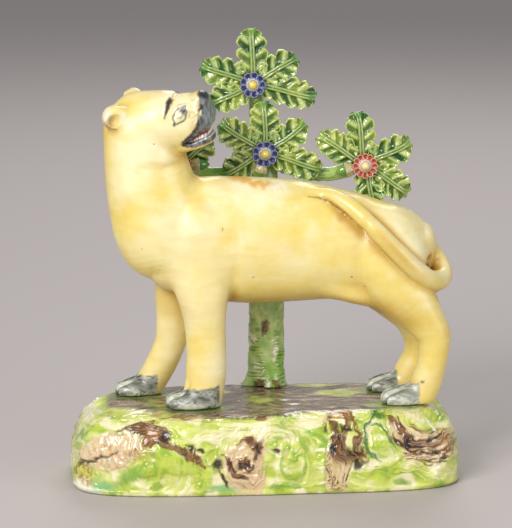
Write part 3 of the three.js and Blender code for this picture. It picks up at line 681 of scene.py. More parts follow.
class Clay:
    """
    A block of space, divided by planes, that holds the distance to the modelled surface, negative inside.
    Limbs are added to it with a softened join, and its zero surface is then drawn off as a mesh.
    """
    FAR = 9.0

    def __init__(self, *axes):
        self.axes = [np.asarray(a) for a in axes]
        self.field = np.full([len(a) for a in axes], self.FAR)

    def window(self, low, high):
        """The slices of space between two corners, and the coordinates in them."""
        cut = tuple(slice(max(np.searchsorted(a, lo) - 1, 0), np.searchsorted(a, hi) + 1)
                    for a, lo, hi in zip(self.axes, low, high))
        mesh = np.meshgrid(*[a[c] for a, c in zip(self.axes, cut)], indexing="ij")
        return cut, np.stack(mesh, axis=-1)

    def limb(self, stations, join=0.0, across=(0, 1, 0), blunt=(1, 1), samples=22, hollow=False):
        """
        Adds (or hollows out) a limb: a swept ellipse with rounded ends. Its distance is the offset from the
        path times 1 - 1/r, where r is the offset measured in the ellipse's own radii.
        """
        path = smooth_path(stations, samples)
        margin = 6.0
        size = path[:, 3:5].max() + margin
        cut, space = self.window(path[:, :3].min(axis=0) - size, path[:, :3].max(axis=0) + size)
        origin = [c.start for c in cut]
        distance = np.full(space.shape[:3], self.FAR)
        for step, (a, b) in enumerate(zip(path[:-1], path[1:])):
            reach = max(a[3:5].max(), b[3:5].max()) + margin
            low, high = np.minimum(a, b)[:3] - reach, np.maximum(a, b)[:3] + reach
            near = tuple(slice(max(np.searchsorted(axis, lo) - 1 - o, 0), max(np.searchsorted(axis, hi) + 1 - o, 0))
                         for axis, lo, hi, o in zip(self.axes, low, high, origin))
            at = space[near]
            run = b[:3] - a[:3]
            length = np.linalg.norm(run)
            ahead = run / length
            share = np.clip((at - a[:3]) @ (run / length ** 2), 0, 1)
            off = at - a[:3] - share[..., None] * run
            side = np.array(across) - ahead * (np.array(across) @ ahead)
            side /= np.linalg.norm(side)
            wide = a[3] + share * (b[3] - a[3])
            deep = a[4] + share * (b[4] - a[4])
            end = 0.3 * np.minimum(wide, deep)
            if step == 0:
                end = np.where(share <= 0, blunt[0] * min(a[3:5]), end)
            if step == len(path) - 2:
                end = np.where(share >= 1, blunt[1] * min(b[3:5]), end)
            ratio = np.sqrt((off @ side / wide) ** 2 + (off @ np.cross(ahead, side) / deep) ** 2
                            + (off @ ahead / end) ** 2) + 1e-6
            straight = np.linalg.norm(off, axis=-1) + 1e-6
            distance[near] = np.minimum(distance[near], straight * (1 - 1 / ratio))
        self.join(cut, distance, join, hollow)

    def lump(self, centre, radii, join=0.0, rotation=None, hollow=False):
        """Adds or hollows out one ellipsoid."""
        rotation = np.eye(3) if rotation is None else rotation
        size = max(radii) + 6
        cut, space = self.window(np.array(centre) - size, np.array(centre) + size)
        off = space - np.array(centre)
        ratio = np.linalg.norm((off @ rotation) / np.array(radii), axis=-1) + 1e-6
        self.join(cut, (np.linalg.norm(off, axis=-1) + 1e-6) * (1 - 1 / ratio), join, hollow)

    def join(self, cut, distance, join, hollow=False):
        """The lesser of two distances, rounded over a band as wide as the join; hollowing does this to the outside."""
        here = -self.field[cut] if hollow else self.field[cut]
        nearest = np.minimum(here, distance)
        if join > 0:
            nearest = nearest - (np.maximum(join - np.abs(here - distance), 0) / join) ** 2 * join / 4
        self.field[cut] = -nearest if hollow else nearest

    def sample(self, points):
        """The distance at any points, interpolated between the planes."""
        base, share = [], []
        for axis, value in zip(self.axes, points.T):
            place = np.clip(np.interp(value, axis, np.arange(len(axis))), 0, len(axis) - 1.001)
            base.append(place.astype(int))
            share.append(place - place.astype(int))
        total = 0
        for corner in np.ndindex(2, 2, 2):
            weight = np.prod([s if c else 1 - s for s, c in zip(share, corner)], axis=0)
            total = total + weight * self.field[tuple(b + c for b, c in zip(base, corner))]
        return total

    def skin(self):
        """
        The zero surface as points and quadrilaterals: one point in each cell that the surface passes through, at
        the mean of its edge crossings, and one face across each edge that changes sign.
        """
        inside = self.field < 0
        shape = np.array(self.field.shape)
        corners = [tuple(slice(c, n - 1 + c) for c, n in zip(corner, shape)) for corner in np.ndindex(2, 2, 2)]
        count = sum(inside[c].astype(np.int8) for c in corners)
        cells = np.argwhere((count > 0) & (count < 8))
        number = np.full(shape - 1, -1)
        number[tuple(cells.T)] = np.arange(len(cells))
        total = np.zeros((len(cells), 3))
        crossings = np.zeros(len(cells))
        for axis in range(3):
            for other in np.ndindex(2, 2):
                start = np.insert(np.array(other), axis, 0)
                end = np.insert(np.array(other), axis, 1)
                a, b = (cells + start), (cells + end)
                fa, fb = self.field[tuple(a.T)], self.field[tuple(b.T)]
                cross = (fa < 0) != (fb < 0)
                share = np.where(cross, fa / np.where(cross, fa - fb, 1), 0)
                pa = np.stack([self.axes[k][a[:, k]] for k in range(3)], axis=1)
                pb = np.stack([self.axes[k][b[:, k]] for k in range(3)], axis=1)
                total += np.where(cross[:, None], pa + share[:, None] * (pb - pa), 0)
                crossings += cross
        points = total / crossings[:, None]
        faces = []
        for axis in range(3):
            ahead = [slice(1, -1)] * 3
            ahead[axis] = slice(0, -1)
            after = [slice(1, -1)] * 3
            after[axis] = slice(1, None)
            enters = inside[tuple(ahead)] != inside[tuple(after)]
            edge = np.argwhere(enters) + np.array([0 if k == axis else 1 for k in range(3)])
            solid_first = inside[tuple(edge.T)]
            u, v = [k for k in range(3) if k != axis]
            step_u, step_v = np.eye(3, dtype=int)[u], np.eye(3, dtype=int)[v]
            ring = np.stack([number[tuple((edge - du * step_u - dv * step_v).T)]
                             for du, dv in ((1, 1), (0, 1), (0, 0), (1, 0))], axis=1)
            flip = solid_first if axis != 1 else ~solid_first
            faces.append(np.where(flip[:, None], ring, ring[:, ::-1]))
        return points, np.vstack(faces)


def planes(*stretches):
    """Cutting planes along one axis: stretches of (from, to, spacing) one after another."""
    return np.unique(np.round(np.concatenate([
        np.linspace(low, high, int(round((high - low) / gap)) + 1) for low, high, gap in stretches]), 5))


def on_head(points):
    """Places on the level head carried to where the head is."""
    return np.atleast_2d(points) @ HEAD_TURN.T + HEAD_CENTRE


def head_stations(stations):
    """Stations of a limb that is modelled on the level head, carried to the turned head."""
    stations = np.array(stations, dtype=float)
    return np.hstack([on_head(stations[:, :3]), stations[:, 3:]])


def paw_stations(heel, toe, wide, high):
    """A low cushion from heel to toe."""
    middle = ((heel[0] + toe[0]) / 2, (heel[1] + toe[1]) / 2)
    return [[*heel, MOUND_HEIGHT + 2.4, wide * 0.8, high * 0.62], [*middle, MOUND_HEIGHT + 2.2, wide, high * 0.82],
            [*toe, MOUND_HEIGHT + 1.6, wide * 0.9, high * 0.66]]


clay = Clay(planes((-71, -18, 0.45), (-18, 83, 0.9)), planes((-27, 24, 0.65)),
            planes((29.5, 44, 0.6), (44, 133, 0.95), (133, 168, 0.42)))
clay.limb(BARREL, blunt=(1, 0.7), samples=26)
clay.limb(NECK, join=3.5, samples=20)
clay.lump((-27, -8, 99), (13, 9.6, 19), join=3)
clay.lump((-33, 9, 97), (12, 9.6, 17), join=3)
for leg in FRONT_LEGS:
    clay.limb(leg, join=4)
for leg in HIND_LEGS:
    clay.limb(leg, join=4, samples=30)
clay.limb(FLANK_FOLD, join=3, samples=8)
clay.lump((53, -8.6, 89), (13.5, 9.6, 20), join=2.2, rotation=turned(np.radians([0, -18, 0])))
clay.lump((-31, -12.4, 106), (8, 5.2, 13), join=3.5, rotation=turned(np.radians([0, 14, 0])))
cross_head = HEAD_TURN @ np.array([0, 1, 0])
clay.limb(head_stations(SKULL), join=2, across=cross_head, blunt=(0.6, 0.5), samples=26)
clay.limb(head_stations(LOWER_JAW), join=1.5, across=cross_head, blunt=(1, 0.9), samples=14)
for side in (-1, 1):
    clay.lump(on_head([26.2, side * 3.9, 2.0])[0], (4.2, 4.4, 5.4), join=2, rotation=HEAD_TURN)
clay.lump(on_head([26.4, 0, 8.8])[0], (3.4, 4.8, 4.1), join=2, rotation=HEAD_TURN)
for ear, side in zip(EARS, (-1, 1)):
    clay.limb(head_stations(ear), join=1.6, across=HEAD_TURN @ np.array([0, 0, 1]), blunt=(0.4, 0.4), samples=5)
    clay.lump(on_head([ear[1][0] + 1.3, side * 16.6, ear[1][2] - 0.5])[0], (3.9, 2.9, 3.5), join=0.9,
              rotation=HEAD_TURN, hollow=True)
for paw in PAWS:
    clay.limb(paw_stations(*paw), join=2.2, blunt=(0.8, 1), samples=12)
clay.limb(TAIL, join=1.3, across=(0, 0, 1), samples=64)
clay.lump((68.6, -11.4, 92.2), (1.7, 5.4, 3.4), join=0.8, rotation=turned(np.radians([0, 28, 0])), hollow=True)

# Details cut into the soft clay, worked out on the cells near each one.
cut, space = clay.window((-71, -27, 128), (-16, 24, 168))
level = (space.reshape(-1, 3) - HEAD_CENTRE) @ HEAD_TURN
profile = level[:, [0, 2]]
outside_core = smooth((np.abs(level[:, 1]) - 3.5) / 2)
UPPER_LIP = [(17.8, -7.6), (20, -6.9), (23, -5.2), (25.9, -3.8), (29.3, -2.2), (34, -0.4)]
LOWER_LIP = [(17.8, -7.9), (20.5, -8.2), (25.2, -6.9), (29.9, -5.4), (34, -4.2)]
lip_above = np.interp(profile[:, 0], *np.array(UPPER_LIP).T)
lip_below = np.interp(profile[:, 0], *np.array(LOWER_LIP).T)
slit = np.maximum.reduce([profile[:, 1] - lip_above, lip_below - profile[:, 1], 18.6 - profile[:, 0]])
slit = np.maximum(slit, np.minimum(4.4 - np.abs(level[:, 1]), 28.4 - profile[:, 0]))
nearby = clay.field[cut].ravel()
nearby = np.maximum(nearby, -slit)
EYE_CENTRE = np.array([18.9, 5.4])
EYE_LONG = np.array([0.62, 0.785])
EYE_SHORT = np.array([0.785, -0.62])


def almond(at, grow=0.0):
    """How far inside the eye's almond a place is: above 0 inside, where |across| is less than 1 - along^2."""
    off = at - EYE_CENTRE
    along = off @ EYE_LONG / (4.1 + grow)
    across = off @ EYE_SHORT / (2.35 + grow)
    return 1 - along ** 2 - np.abs(across)


eye = almond(profile)
socket = np.exp(-((profile - EYE_CENTRE) ** 2).sum(axis=1) / 26)
BROW = [(18.6, 13.1, 0.15), (17.2, 13.3, 0.7), (15.6, 12.6, 1.15), (14.4, 10.6, 1.15), (13.6, 8, 0.8), (12.9, 5.2, 0.15)]
nearby = nearby + outside_core * (
    0.5 * socket - 0.75 * smooth(eye / 0.9) - 0.3 * np.exp(-((eye + 0.02) / 0.16) ** 2)
    - 0.35 * stroke(profile, BROW, 0.8) + 0.35 * spot(profile, (23.4, 2), (2.6, 5.5), 20, 0.8))
NOSTRIL = (27.6, 7.4)
nearby = nearby + outside_core * 0.7 * spot(profile, NOSTRIL, (0.9, 0.7), 30, 0.8)
clay.field[cut] = nearby.reshape(clay.field[cut].shape)

for heel, toe, wide, high in PAWS:
    run = np.array(toe) - np.array(heel)
    length = np.hypot(*run)
    ahead = run / length
    cut, space = clay.window((toe[0] - 12, toe[1] - 12, 30), (toe[0] + 13, toe[1] + 12, 44))
    off = space[..., :2] - np.array(toe)
    forward = off @ ahead
    sideways = off @ np.array([-ahead[1], ahead[0]])
    clefts = sum(np.exp(-((sideways - wide * at - 0.05 * forward * at) / 0.7) ** 2) for at in (-0.5, 0, 0.5))
    clay.field[cut] += 1.7 * clefts * smooth((forward + 7) / 5) * smooth((space[..., 2] - 31) / 2)

BODY_FOLDS = [  # window, path on the flank with half widths, depth, softness
    (((-26, -26, 74), (0, -4, 116)), [(-13, 112, 0.2), (-12.4, 98, 1.0), (-13.4, 88, 1.2), (-15, 78, 0.4)], 0.8, 3.2),
    (((26, -26, 66), (62, -4, 116)), [(41, 112, 0.2), (38.6, 100, 0.8), (38.4, 88, 1.2), (43, 77, 0.8), (52, 66, 0.2)], 0.7, 3.0),
    (((-64, -24, 106), (-26, -4, 142)), [(-52, 134, 0.2), (-44, 133, 0.8), (-36, 135, 0.6), (-31, 139, 0.2)], 0.7, 3.0)]
for (low, high), path, depth, softness in BODY_FOLDS:
    cut, space = clay.window(low, high)
    fold = stroke(space[..., [0, 2]].reshape(-1, 2), path, softness).reshape(space.shape[:3])
    clay.field[cut] += depth * fold * smooth((-4 - space[..., 1]) / 4)

cut, space = clay.window((10, -20, 106), (40, 0, 126))
incised = stroke(space[..., [0, 2]].reshape(-1, 2), [(17.6, 120.4, 0.1), (22.5, 119.9, 0.35), (26.5, 118.4, 0.4),
                                                      (30, 115.8, 0.35), (33, 113.6, 0.1)], 0.5)
clay.field[cut] += 0.55 * incised.reshape(space.shape[:3])

clay.field = np.maximum(clay.field, (MOUND_HEIGHT + JOINT_GAP - clay.axes[2])[None, None, :])
lioness_points, lioness_faces = clay.skin()


def relaxed(points, faces, rounds, strength):
    """Each point moved a share of the way to the mean of its neighbours along the faces' edges."""
    ends = np.concatenate([faces[:, [i, (i + 1) % 4]] for i in range(4)])
    ends = np.concatenate([ends, ends[:, ::-1]])
    degree = np.bincount(ends[:, 0], minlength=len(points))[:, None]
    for _ in range(rounds):
        mean = np.stack([np.bincount(ends[:, 0], points[ends[:, 1], k], len(points)) for k in range(3)], axis=1) / degree
        points = points + strength * (mean - points)
    return points


standing = lioness_points[:, 2] < MOUND_HEIGHT + JOINT_GAP + 0.4
eased = relaxed(lioness_points, lioness_faces, 3, 0.5)
lioness_points = np.where(standing[:, None], lioness_points, eased)

step = 0.4
slope = np.stack([clay.sample(lioness_points + step * axis) - clay.sample(lioness_points - step * axis)
                  for axis in np.eye(3)], axis=1)
lioness_normals = slope / np.maximum(np.linalg.norm(slope, axis=1, keepdims=True), 1e-6)
# A hollow is where the clay lies closer to a place above the surface than that place is high.
closeness = [1 - clay.sample(lioness_points + lioness_normals * height) / height for height in (1.4, 4.5, 8)]
# Ochre: glaze gathered in small hollows, and painted shade over the broad hollows between the muscles.
pooling_and_shade = np.clip(1.2 * closeness[0] + 0.9 * np.clip(closeness[1], 0, 1) + 0.6 * np.clip(closeness[2] - 0.05, 0, 1), 0, 1)
# Cream: glaze run thin on rounded places, and a painted highlight on faces that turn upwards.
thin_glaze_and_highlight = smooth(0.62 + 0.5 * lioness_normals[:, 2] + 0.004 * np.abs(lioness_points[:, 2] - 84)) * (1 - pooling_and_shade)

BLACK_ENAMEL = glaze("201d1c")
GREY_ENAMEL = glaze("6d7275")
SLATE_LIP_HIGHLIGHT = glaze("a4adb4")
BROW_BROWN = glaze("3f3426")
EYE_CREAM = glaze("e9dfae")
MOUTH_RED = glaze("a8332c")
TEETH_WHITE = glaze("e8e6dc")
OCHRE = glaze("b5842f")
SPINE_ORANGE = glaze("e0a437")
PAW_WHITE = glaze("c6c8b6")
PAW_GREY = glaze("8b8d80")
PAW_OLIVE = glaze("55584a")

level = (lioness_points - HEAD_CENTRE) @ HEAD_TURN
profile = level[:, [0, 2]] + 0.12 * np.stack([ripple(level, 2.2, 21), ripple(level, 2.0, 22)], axis=1)
on_face = smooth((np.abs(level[:, 1]) - 2.5) / 2) * smooth((level[:, 0] - 8) / 3) * (level[:, 2] > -16)
face_streaks = ripple(level * [1, 1, 0.4], 1.6, 23)
LIP_BAND = [(27.2, 15), (26.6, 11), (27.0, 8), (28, 5.3), (26.4, 3), (24.7, -0.3), (22.4, -3.1), (19.4, -5.2),
            (17.2, -7.2), (17.6, -8.6), (20, -7.6), (23, -5.6), (25.9, -4.4), (29.3, -2.8), (36, -2.4), (38, 6), (36, 15)]
CHOPS = [(17.4, -7.9), (20.5, -8.0), (25.2, -6.9), (29.9, -5.9), (36, -5), (36, -7.4), (30.3, -8), (26.6, -9.2),
         (21.6, -10.1), (18.2, -9.4)]
ahead_of_cheek = (level[:, 0] > 12).astype(float)
lips = region(profile, LIP_BAND, 0.4) * ahead_of_cheek
chops = region(profile, CHOPS, 0.35) * ahead_of_cheek
mouth_above = np.interp(level[:, 0], *np.array(UPPER_LIP).T)
mouth_below = np.interp(level[:, 0], *np.array(LOWER_LIP).T)
in_mouth = (smooth((mouth_above + 0.25 - level[:, 2]) / 0.4) * smooth((level[:, 2] - mouth_below + 0.3) / 0.4)
            * smooth((level[:, 0] - 19.2) / 0.8))
eye = almond(profile)
coat = np.zeros((len(lioness_points), 4))


def brush(coat, colour, cover):
    """Lays a colour into a paint coat: the colour goes over what is there, and the cover grows towards 1."""
    cover = np.clip(cover, 0, 1)[:, None]
    whole = cover + coat[:, 3:] * (1 - cover)
    mixed = (colour * cover + coat[:, :3] * coat[:, 3:] * (1 - cover)) / np.maximum(whole, 1e-6)
    return np.hstack([mixed, whole])


coat = brush(coat, OCHRE, 0.28 * smooth((profile[:, 0] - 22.5) / 4) * smooth(0.3 + face_streaks) * on_face)
coat = brush(coat, GREY_ENAMEL, lips * 0.97)
coat = brush(coat, BLACK_ENAMEL, lips * 0.8 * smooth(0.35 + 0.7 * face_streaks) * smooth((31 - level[:, 0]) / 4))
coat = brush(coat, BLACK_ENAMEL, 0.85 * stroke(profile, [(27, 7, 0.2), (26.6, 3.4, 0.4), (24.9, -0.4, 0.5), (22.4, -3.4, 0.6),
                                                         (18.4, -6.8, 1.0)], 0.4) * on_face)
# A painted highlight: pale slate over the front of the upper lip band.
coat = brush(coat, SLATE_LIP_HIGHLIGHT, lips * 0.8 * smooth((level[:, 0] - 28.6) / 2) * smooth(0.4 - face_streaks))
coat = brush(coat, BLACK_ENAMEL, 0.9 * stroke(profile, [(26.4, 12.6, 0.7), (28.4, 11.6, 0.9), (30.2, 9.8, 0.5)], 0.5)
             * ahead_of_cheek)
coat = brush(coat, BLACK_ENAMEL, 0.9 * spot(profile, NOSTRIL, (1.1, 0.8), 30, 0.4) * on_face)
WHISKERS = [[(26.6, 9.6, 0.12), (23.4, 10.8, 0.05)], [(26.4, 8.2, 0.14), (22.8, 8.4, 0.05)],
            [(26.2, 6.8, 0.14), (22.8, 6.0, 0.05)], [(26.2, 5.2, 0.12), (23.4, 3.8, 0.05)],
            [(26.6, 11.2, 0.16), (25, 12.6, 0.05)], [(25.4, 3.6, 0.1), (23.4, 1.8, 0.04)]]
whiskers = np.maximum.reduce([stroke(profile, path, 0.35) for path in WHISKERS])
coat = brush(coat, BROW_BROWN, 0.6 * whiskers * on_face)
coat = brush(coat, GREY_ENAMEL, chops * 0.95)
coat = brush(coat, BLACK_ENAMEL, chops * 0.75 * smooth(0.1 + ripple(level * [1, 1, 0.3], 2.1, 24)))
coat = brush(coat, TEETH_WHITE, 0.85 * stroke(profile, [(20.4, -7.9, 0.2), (25.2, -6.7, 0.35), (31, -5.4, 0.3)], 0.3)
             * ahead_of_cheek)
mouth_share = (level[:, 2] - mouth_below) / np.maximum(mouth_above - mouth_below, 0.3)
coat = brush(coat, BLACK_ENAMEL, in_mouth * 0.9)
coat = brush(coat, TEETH_WHITE, in_mouth * smooth((0.24 - np.abs(mouth_share - 0.36)) / 0.12) * smooth(
    1.1 + np.sin(level[:, 0] * 5.2)))
coat = brush(coat, MOUTH_RED, in_mouth * smooth((mouth_share - 0.56) / 0.12) * smooth(0.9 + np.sin(level[:, 0] * 3.4)))
coat = brush(coat, BLACK_ENAMEL, 0.9 * spot(profile, (18.2, -7.9), (1.2, 0.9), 20, 0.4) * on_face)
coat = brush(coat, EYE_CREAM, smooth(eye / 0.12) * on_face)
eye_along = (profile - EYE_CENTRE) @ EYE_LONG
coat = brush(coat, GREY_ENAMEL, 0.8 * smooth(eye / 0.15) * smooth((eye_along - 0.3) / 1.2) * on_face)
coat = brush(coat, BLACK_ENAMEL, 0.95 * smooth(eye / 0.1) * spot(profile, (20.3, 7.3), (1.1, 0.95), 50, 0.35) * on_face)
coat = brush(coat, BLACK_ENAMEL, 0.6 * smooth(eye / 0.1) * stroke(profile, [(17.4, 4.6, 0.1), (19.4, 4.6, 0.25),
                                                                          (20.6, 5.8, 0.1)], 0.35) * on_face)
coat = brush(coat, BLACK_ENAMEL, 0.9 * np.exp(-((eye + 0.02) / 0.17) ** 2) * on_face)
coat = brush(coat, BROW_BROWN, 0.5 * np.exp(-((eye + 0.62) / 0.12) ** 2) * smooth((eye_along - 0.4) / 1.2) * on_face)
coat = brush(coat, BLACK_ENAMEL, 0.9 * stroke(profile, [(17, 3, 0.3), (16.4, 1.9, 0.4)], 0.4) * on_face)
coat = brush(coat, BROW_BROWN, stroke(profile, BROW, 0.45) * on_face * 0.97)
coat = brush(coat, BLACK_ENAMEL, 0.6 * stroke(profile, [(16.4, 13.6, 0.2), (14.4, 11.6, 0.5), (13.7, 8, 0.3)], 0.4) * on_face)
coat = brush(coat, BLACK_ENAMEL, 0.9 * spot(profile, (22.6, 11.8), (0.5, 0.45), 0, 0.5) * on_face)
for (across_head, _, up_head, _, _), side in ((EARS[0][1], -1), (EARS[1][1], 1)):
    ear_off = profile - np.array([across_head, up_head])
    by_ear = smooth((side * level[:, 1] - 10) / 2)
    # Painted highlight: white on the ear's rolled back rim.
    coat = brush(coat, WHITE_GLAZE, 0.6 * by_ear * spot(ear_off, (-4.2, 1.4), (2.2, 3), -20, 0.6))
    # Ochre and brown low in the ear's hollow: glaze pooling and painted shade.
    coat = brush(coat, OCHRE, 0.6 * by_ear * spot(ear_off, (-3.4, -1.8), (2.2, 1.8), 30, 0.7))
    coat = brush(coat, ROCK_BROWN, 0.55 * by_ear * spot(ear_off, (-4.4, -3.4), (1.6, 1.2), 30, 0.7))
    coat = brush(coat, ROCK_BROWN, 0.35 * by_ear * spot(ear_off, (-2.2, 0.6), (1.2, 1.6), 10, 0.7))
    coat = brush(coat, WHITE_GLAZE, 0.5 * by_ear * spot(ear_off, (2.4, -0.6), (1.6, 2.2), 0, 0.7))

for heel, toe, wide, high in PAWS:
    run = np.array(toe) - np.array(heel)
    ahead = run / np.hypot(*run)
    off = lioness_points[:, :2] - np.array(toe)
    forward, sideways = off @ ahead, off @ np.array([-ahead[1], ahead[0]])
    ankle = 40.2 - 0.16 * forward - 0.02 * sideways ** 2 + 0.22 * ripple(lioness_points, 4, 31)
    back = -np.hypot(*run) - (4.5 if heel[0] < 0 else 0.2)
    cover = (smooth((ankle - lioness_points[:, 2]) / 0.8) * smooth((forward - back) / 1.2)
             * smooth((wide + 4 - np.abs(sideways)) / 1) * smooth((9 - forward) / 1))
    plain = np.stack([0.3 * forward, sideways, 0.8 * lioness_points[:, 2]], axis=1)
    streaks, patches = ripple(plain, 1.5, 32), ripple(plain, 4.5, 33)
    pale = 0.55 if heel == (64, -11) else 0
    coat = brush(coat, PAW_GREY, cover)
    coat = brush(coat, PAW_WHITE, cover * smooth(pale + 0.35 + 0.8 * patches + 0.5 * streaks))
    coat = brush(coat, PAW_OLIVE, cover * (0.85 - pale) * smooth(-0.1 - 0.9 * patches + 0.5 * streaks))
    coat = brush(coat, BLACK_ENAMEL, cover * (0.5 if heel[1] < 0 else 0.8) * smooth(1.5 * streaks - 1.2))
    coat = brush(coat, BLACK_ENAMEL, cover * 0.5 * smooth((lioness_points[:, 2] - ankle + 1.6) / 1.2) * smooth(streaks + 0.6))
    clefts = sum(np.exp(-((sideways - wide * at - 0.05 * forward * at) / 0.5) ** 2) for at in (-0.5, 0, 0.5))
    coat = brush(coat, BLACK_ENAMEL, cover * 0.85 * clefts * smooth((forward + 7) / 4))
    coat = brush(coat, BLACK_ENAMEL, cover * 0.5 * smooth((MOUND_HEIGHT + 1.2 - lioness_points[:, 2]) / 0.9))

body_side = smooth((LIONESS_Y - lioness_points[:, 1]) / 3)
# Painted shade: a soft ochre band along the neck fold below the jaw.
coat = brush(coat, OCHRE, 0.28 * body_side * stroke(lioness_points[:, [0, 2]], [
    (-48.4, 136.4, 0.2), (-42.2, 134.8, 0.8), (-36, 136.2, 1.0), (-31, 140.6, 0.8)], 2.2))
back_plan = lioness_points[:, :2] + 0.8 * np.stack([ripple(lioness_points, 5, 33), ripple(lioness_points, 4, 34)], axis=1)
upper = smooth((lioness_points[:, 2] - 119) / 3)
coat = brush(coat, SPINE_ORANGE, 0.85 * upper * np.maximum(spot(back_plan, (-11, -1.4), (5.5, 3.2), -32, 0.4),
                                                          spot(back_plan, (-2.4, -5.4), (6, 2.2), -6, 0.4)))
coat = brush(coat, WHITE_GLAZE, 0.6 * upper * spot(back_plan, (4.5, -6.2), (4, 1.6), 10, 0.5))
flank = lioness_points[:, [0, 2]]
coat = brush(coat, BLACK_ENAMEL, 0.85 * body_side * stroke(flank, [(17.6, 120.4, 0.1), (22.5, 119.8, 0.25), (26.5, 118.2, 0.25),
                                                                  (30, 115.7, 0.2), (33, 113.4, 0.05)], 0.35))
coat = brush(coat, OCHRE, 0.5 * body_side * spot(flank, (31, 112.4), (1.8, 2), 0, 0.6))
# Painted shadow: dark brown in the narrow gap between the tail's loop and the rump.
coat = brush(coat, ROCK_BROWN, 0.9 * spot(flank, (68.6, 92), (1.5, 3.4), -28, 0.4) * smooth(
    (-6.5 - lioness_points[:, 1]) / 1.5) * smooth((lioness_points[:, 1] + 17) / 1.5))
for at, size in [((-18.7, 108.4), 0.45), ((65.1, 42), 0.6), ((33.2, 112.6), 0.4), ((8, 100.6), 0.3), ((-6, 88), 0.28),
                 ((41, 83), 0.28), ((-52, 100), 0.25)]:
    coat = brush(coat, BROW_BROWN, 0.9 * body_side * spot(flank, at, (size, size), 0, 0.5))

under_shade = smooth((84 - lioness_points[:, 2]) / 12) * smooth(0.2 - lioness_normals[:, 2] * 1.2) * smooth(
    (lioness_points[:, 2] - 62) / 8)
lioness = piece("lioness_glazed", lioness_points, [lioness_faces], {
    "pooling_and_shade": pooling_and_shade, "thin_glaze_and_highlight": thin_glaze_and_highlight, "underside": under_shade}, coat)
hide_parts("lioness")


def yellow_glaze():
    """Buttery glaze: cream where it runs thin and as a painted highlight on upward faces, ochre where it pools and as
    painted shade in broad hollows and underneath, with the brushed enamels over it.
    """
    material, tree, shader, place = new_glaze("buttery yellow glaze")
    broad = group(tree, MOTTLING, {"Vector": place, "Breadth": 38.0})
    mottling = group(tree, MOTTLING, {"Vector": place, "Breadth": 130.0})
    colour = blend(tree, times(tree, mottling.outputs["Clouds"], 0.6), glaze("e8d06e"), glaze("eeda88"))
    thin_glaze_and_highlight = times(tree, broad.outputs["Clouds"], mask_of(tree, "thin_glaze_and_highlight"))
    colour = blend(tree, times(tree, thin_glaze_and_highlight, 0.9), colour, glaze("f3ecc4"))
    streaked = wire(tree, "ShaderNodeMapping", {"Vector": place, "Rotation": (0.2, 0.5, 0), "Scale": (60, 60, 190)})
    runs = group(tree, BRUSH_LINES, {"Vector": streaked.outputs[0], "Scale": 1.0}).outputs["Lines"]
    colour = blend(tree, times(tree, runs, 0.16), colour, glaze("d9b04a"))
    colour = blend(tree, times(tree, mask_of(tree, "pooling_and_shade"), 0.75), colour, glaze("c08f32"))
    colour = blend(tree, times(tree, mask_of(tree, "underside"), 0.65), colour, glaze("b98a2e"))
    specks = group(tree, SPECKS, {"Vector": place, "Scale": 110.0, "Rarity": 0.86}).outputs["Specks"]
    colour = blend(tree, times(tree, specks, 0.6), colour, glaze("7a5a34"))
    coat_layer = wire(tree, "ShaderNodeAttribute", attribute_name="paint")
    colour = blend(tree, coat_layer.outputs["Alpha"], colour, coat_layer.outputs["Color"])
    finish_glaze(tree, shader, colour, mottling, rough=(0.28, 0.44), bump=0.35, depth=0.0006, coat=0.25)
    return material


lioness.data.materials.append(yellow_glaze())

# The tree
# A solid rolled trunk behind her, hatched with a tool for bark, its foot spread on the mound, with a side branch
# luted on to the left and right. It is glazed green, with bare white chips and a brown knot.

TRUNK = [  # place, half width along Y, half width along X
    [2.8, 26, 31.6, 6.6, 9.4], [2.8, 26, 36, 5.9, 8.4], [2.8, 26, 44, 5.7, 8], [2.8, 26, 54, 5.6, 7.8],
    [3, 26, 90, 5.3, 7.4], [2.8, 27.6, 106, 4.8, 6.8], [2.4, 30.4, 124, 3.8, 5.6], [1.4, 30.8, 140, 3.6, 4.6],
    [-2.4, 30.4, 160, 2.8, 3.2]]
BRANCHES = {
    "right": [[3, 30, 130], [13, 29, 126], [25, 28.7, 123.4], [36, 28.7, 124.6], [45, 28.7, 128]],
    "left": [[1, 30, 130], [-8, 29, 126], [-17, 28.7, 124], [-26, 28.7, 125.2], [-34.8, 28.7, 128.6]]}
BRANCH_RADIUS = 3.1


def tube(path, rows, columns, caps=5):
    """
    A closed swept shell: an ellipse carried along a path, with a quarter-round cap of shrinking rings at either end.
    Returns the grid of points, the place along the path and round it, and the outward directions.
    """
    line = smooth_path(path, rows)
    ahead = np.gradient(line[:, :3], axis=0)
    ahead /= np.linalg.norm(ahead, axis=1, keepdims=True)
    y_axis = np.array([0.0, 1.0, 0.0])
    side = y_axis - ahead * (ahead @ y_axis)[:, None]
    side /= np.linalg.norm(side, axis=1, keepdims=True)
    front = np.cross(ahead, side)
    bend = np.linspace(0, np.pi / 2, caps + 1)[1:]
    order = np.concatenate([np.zeros(caps, int), np.arange(rows), np.full(caps, rows - 1)])
    shrink = np.concatenate([np.cos(bend)[::-1], np.ones(rows), np.cos(bend)])
    push = np.concatenate([-np.sin(bend)[::-1], np.zeros(rows), np.sin(bend)])
    shrink = np.maximum(shrink, 0.02)
    turn = np.linspace(0, TAU, columns, endpoint=False)
    radii = line[order][:, 3:5] * shrink[:, None]
    reach = line[order][:, 3:5].min(axis=1) * push * 0.8
    spin = (side[order][:, None] * (radii[:, :1] * np.cos(turn))[..., None]
            + front[order][:, None] * (radii[:, 1:] * np.sin(turn))[..., None])
    points = line[order][:, None, :3] + (ahead[order] * reach[:, None])[:, None] + spin
    along = np.concatenate([np.zeros(caps), np.linspace(0, 1, rows), np.ones(caps)])
    return points, along, turn, spin / np.maximum(np.linalg.norm(spin, axis=-1, keepdims=True), 1e-9)


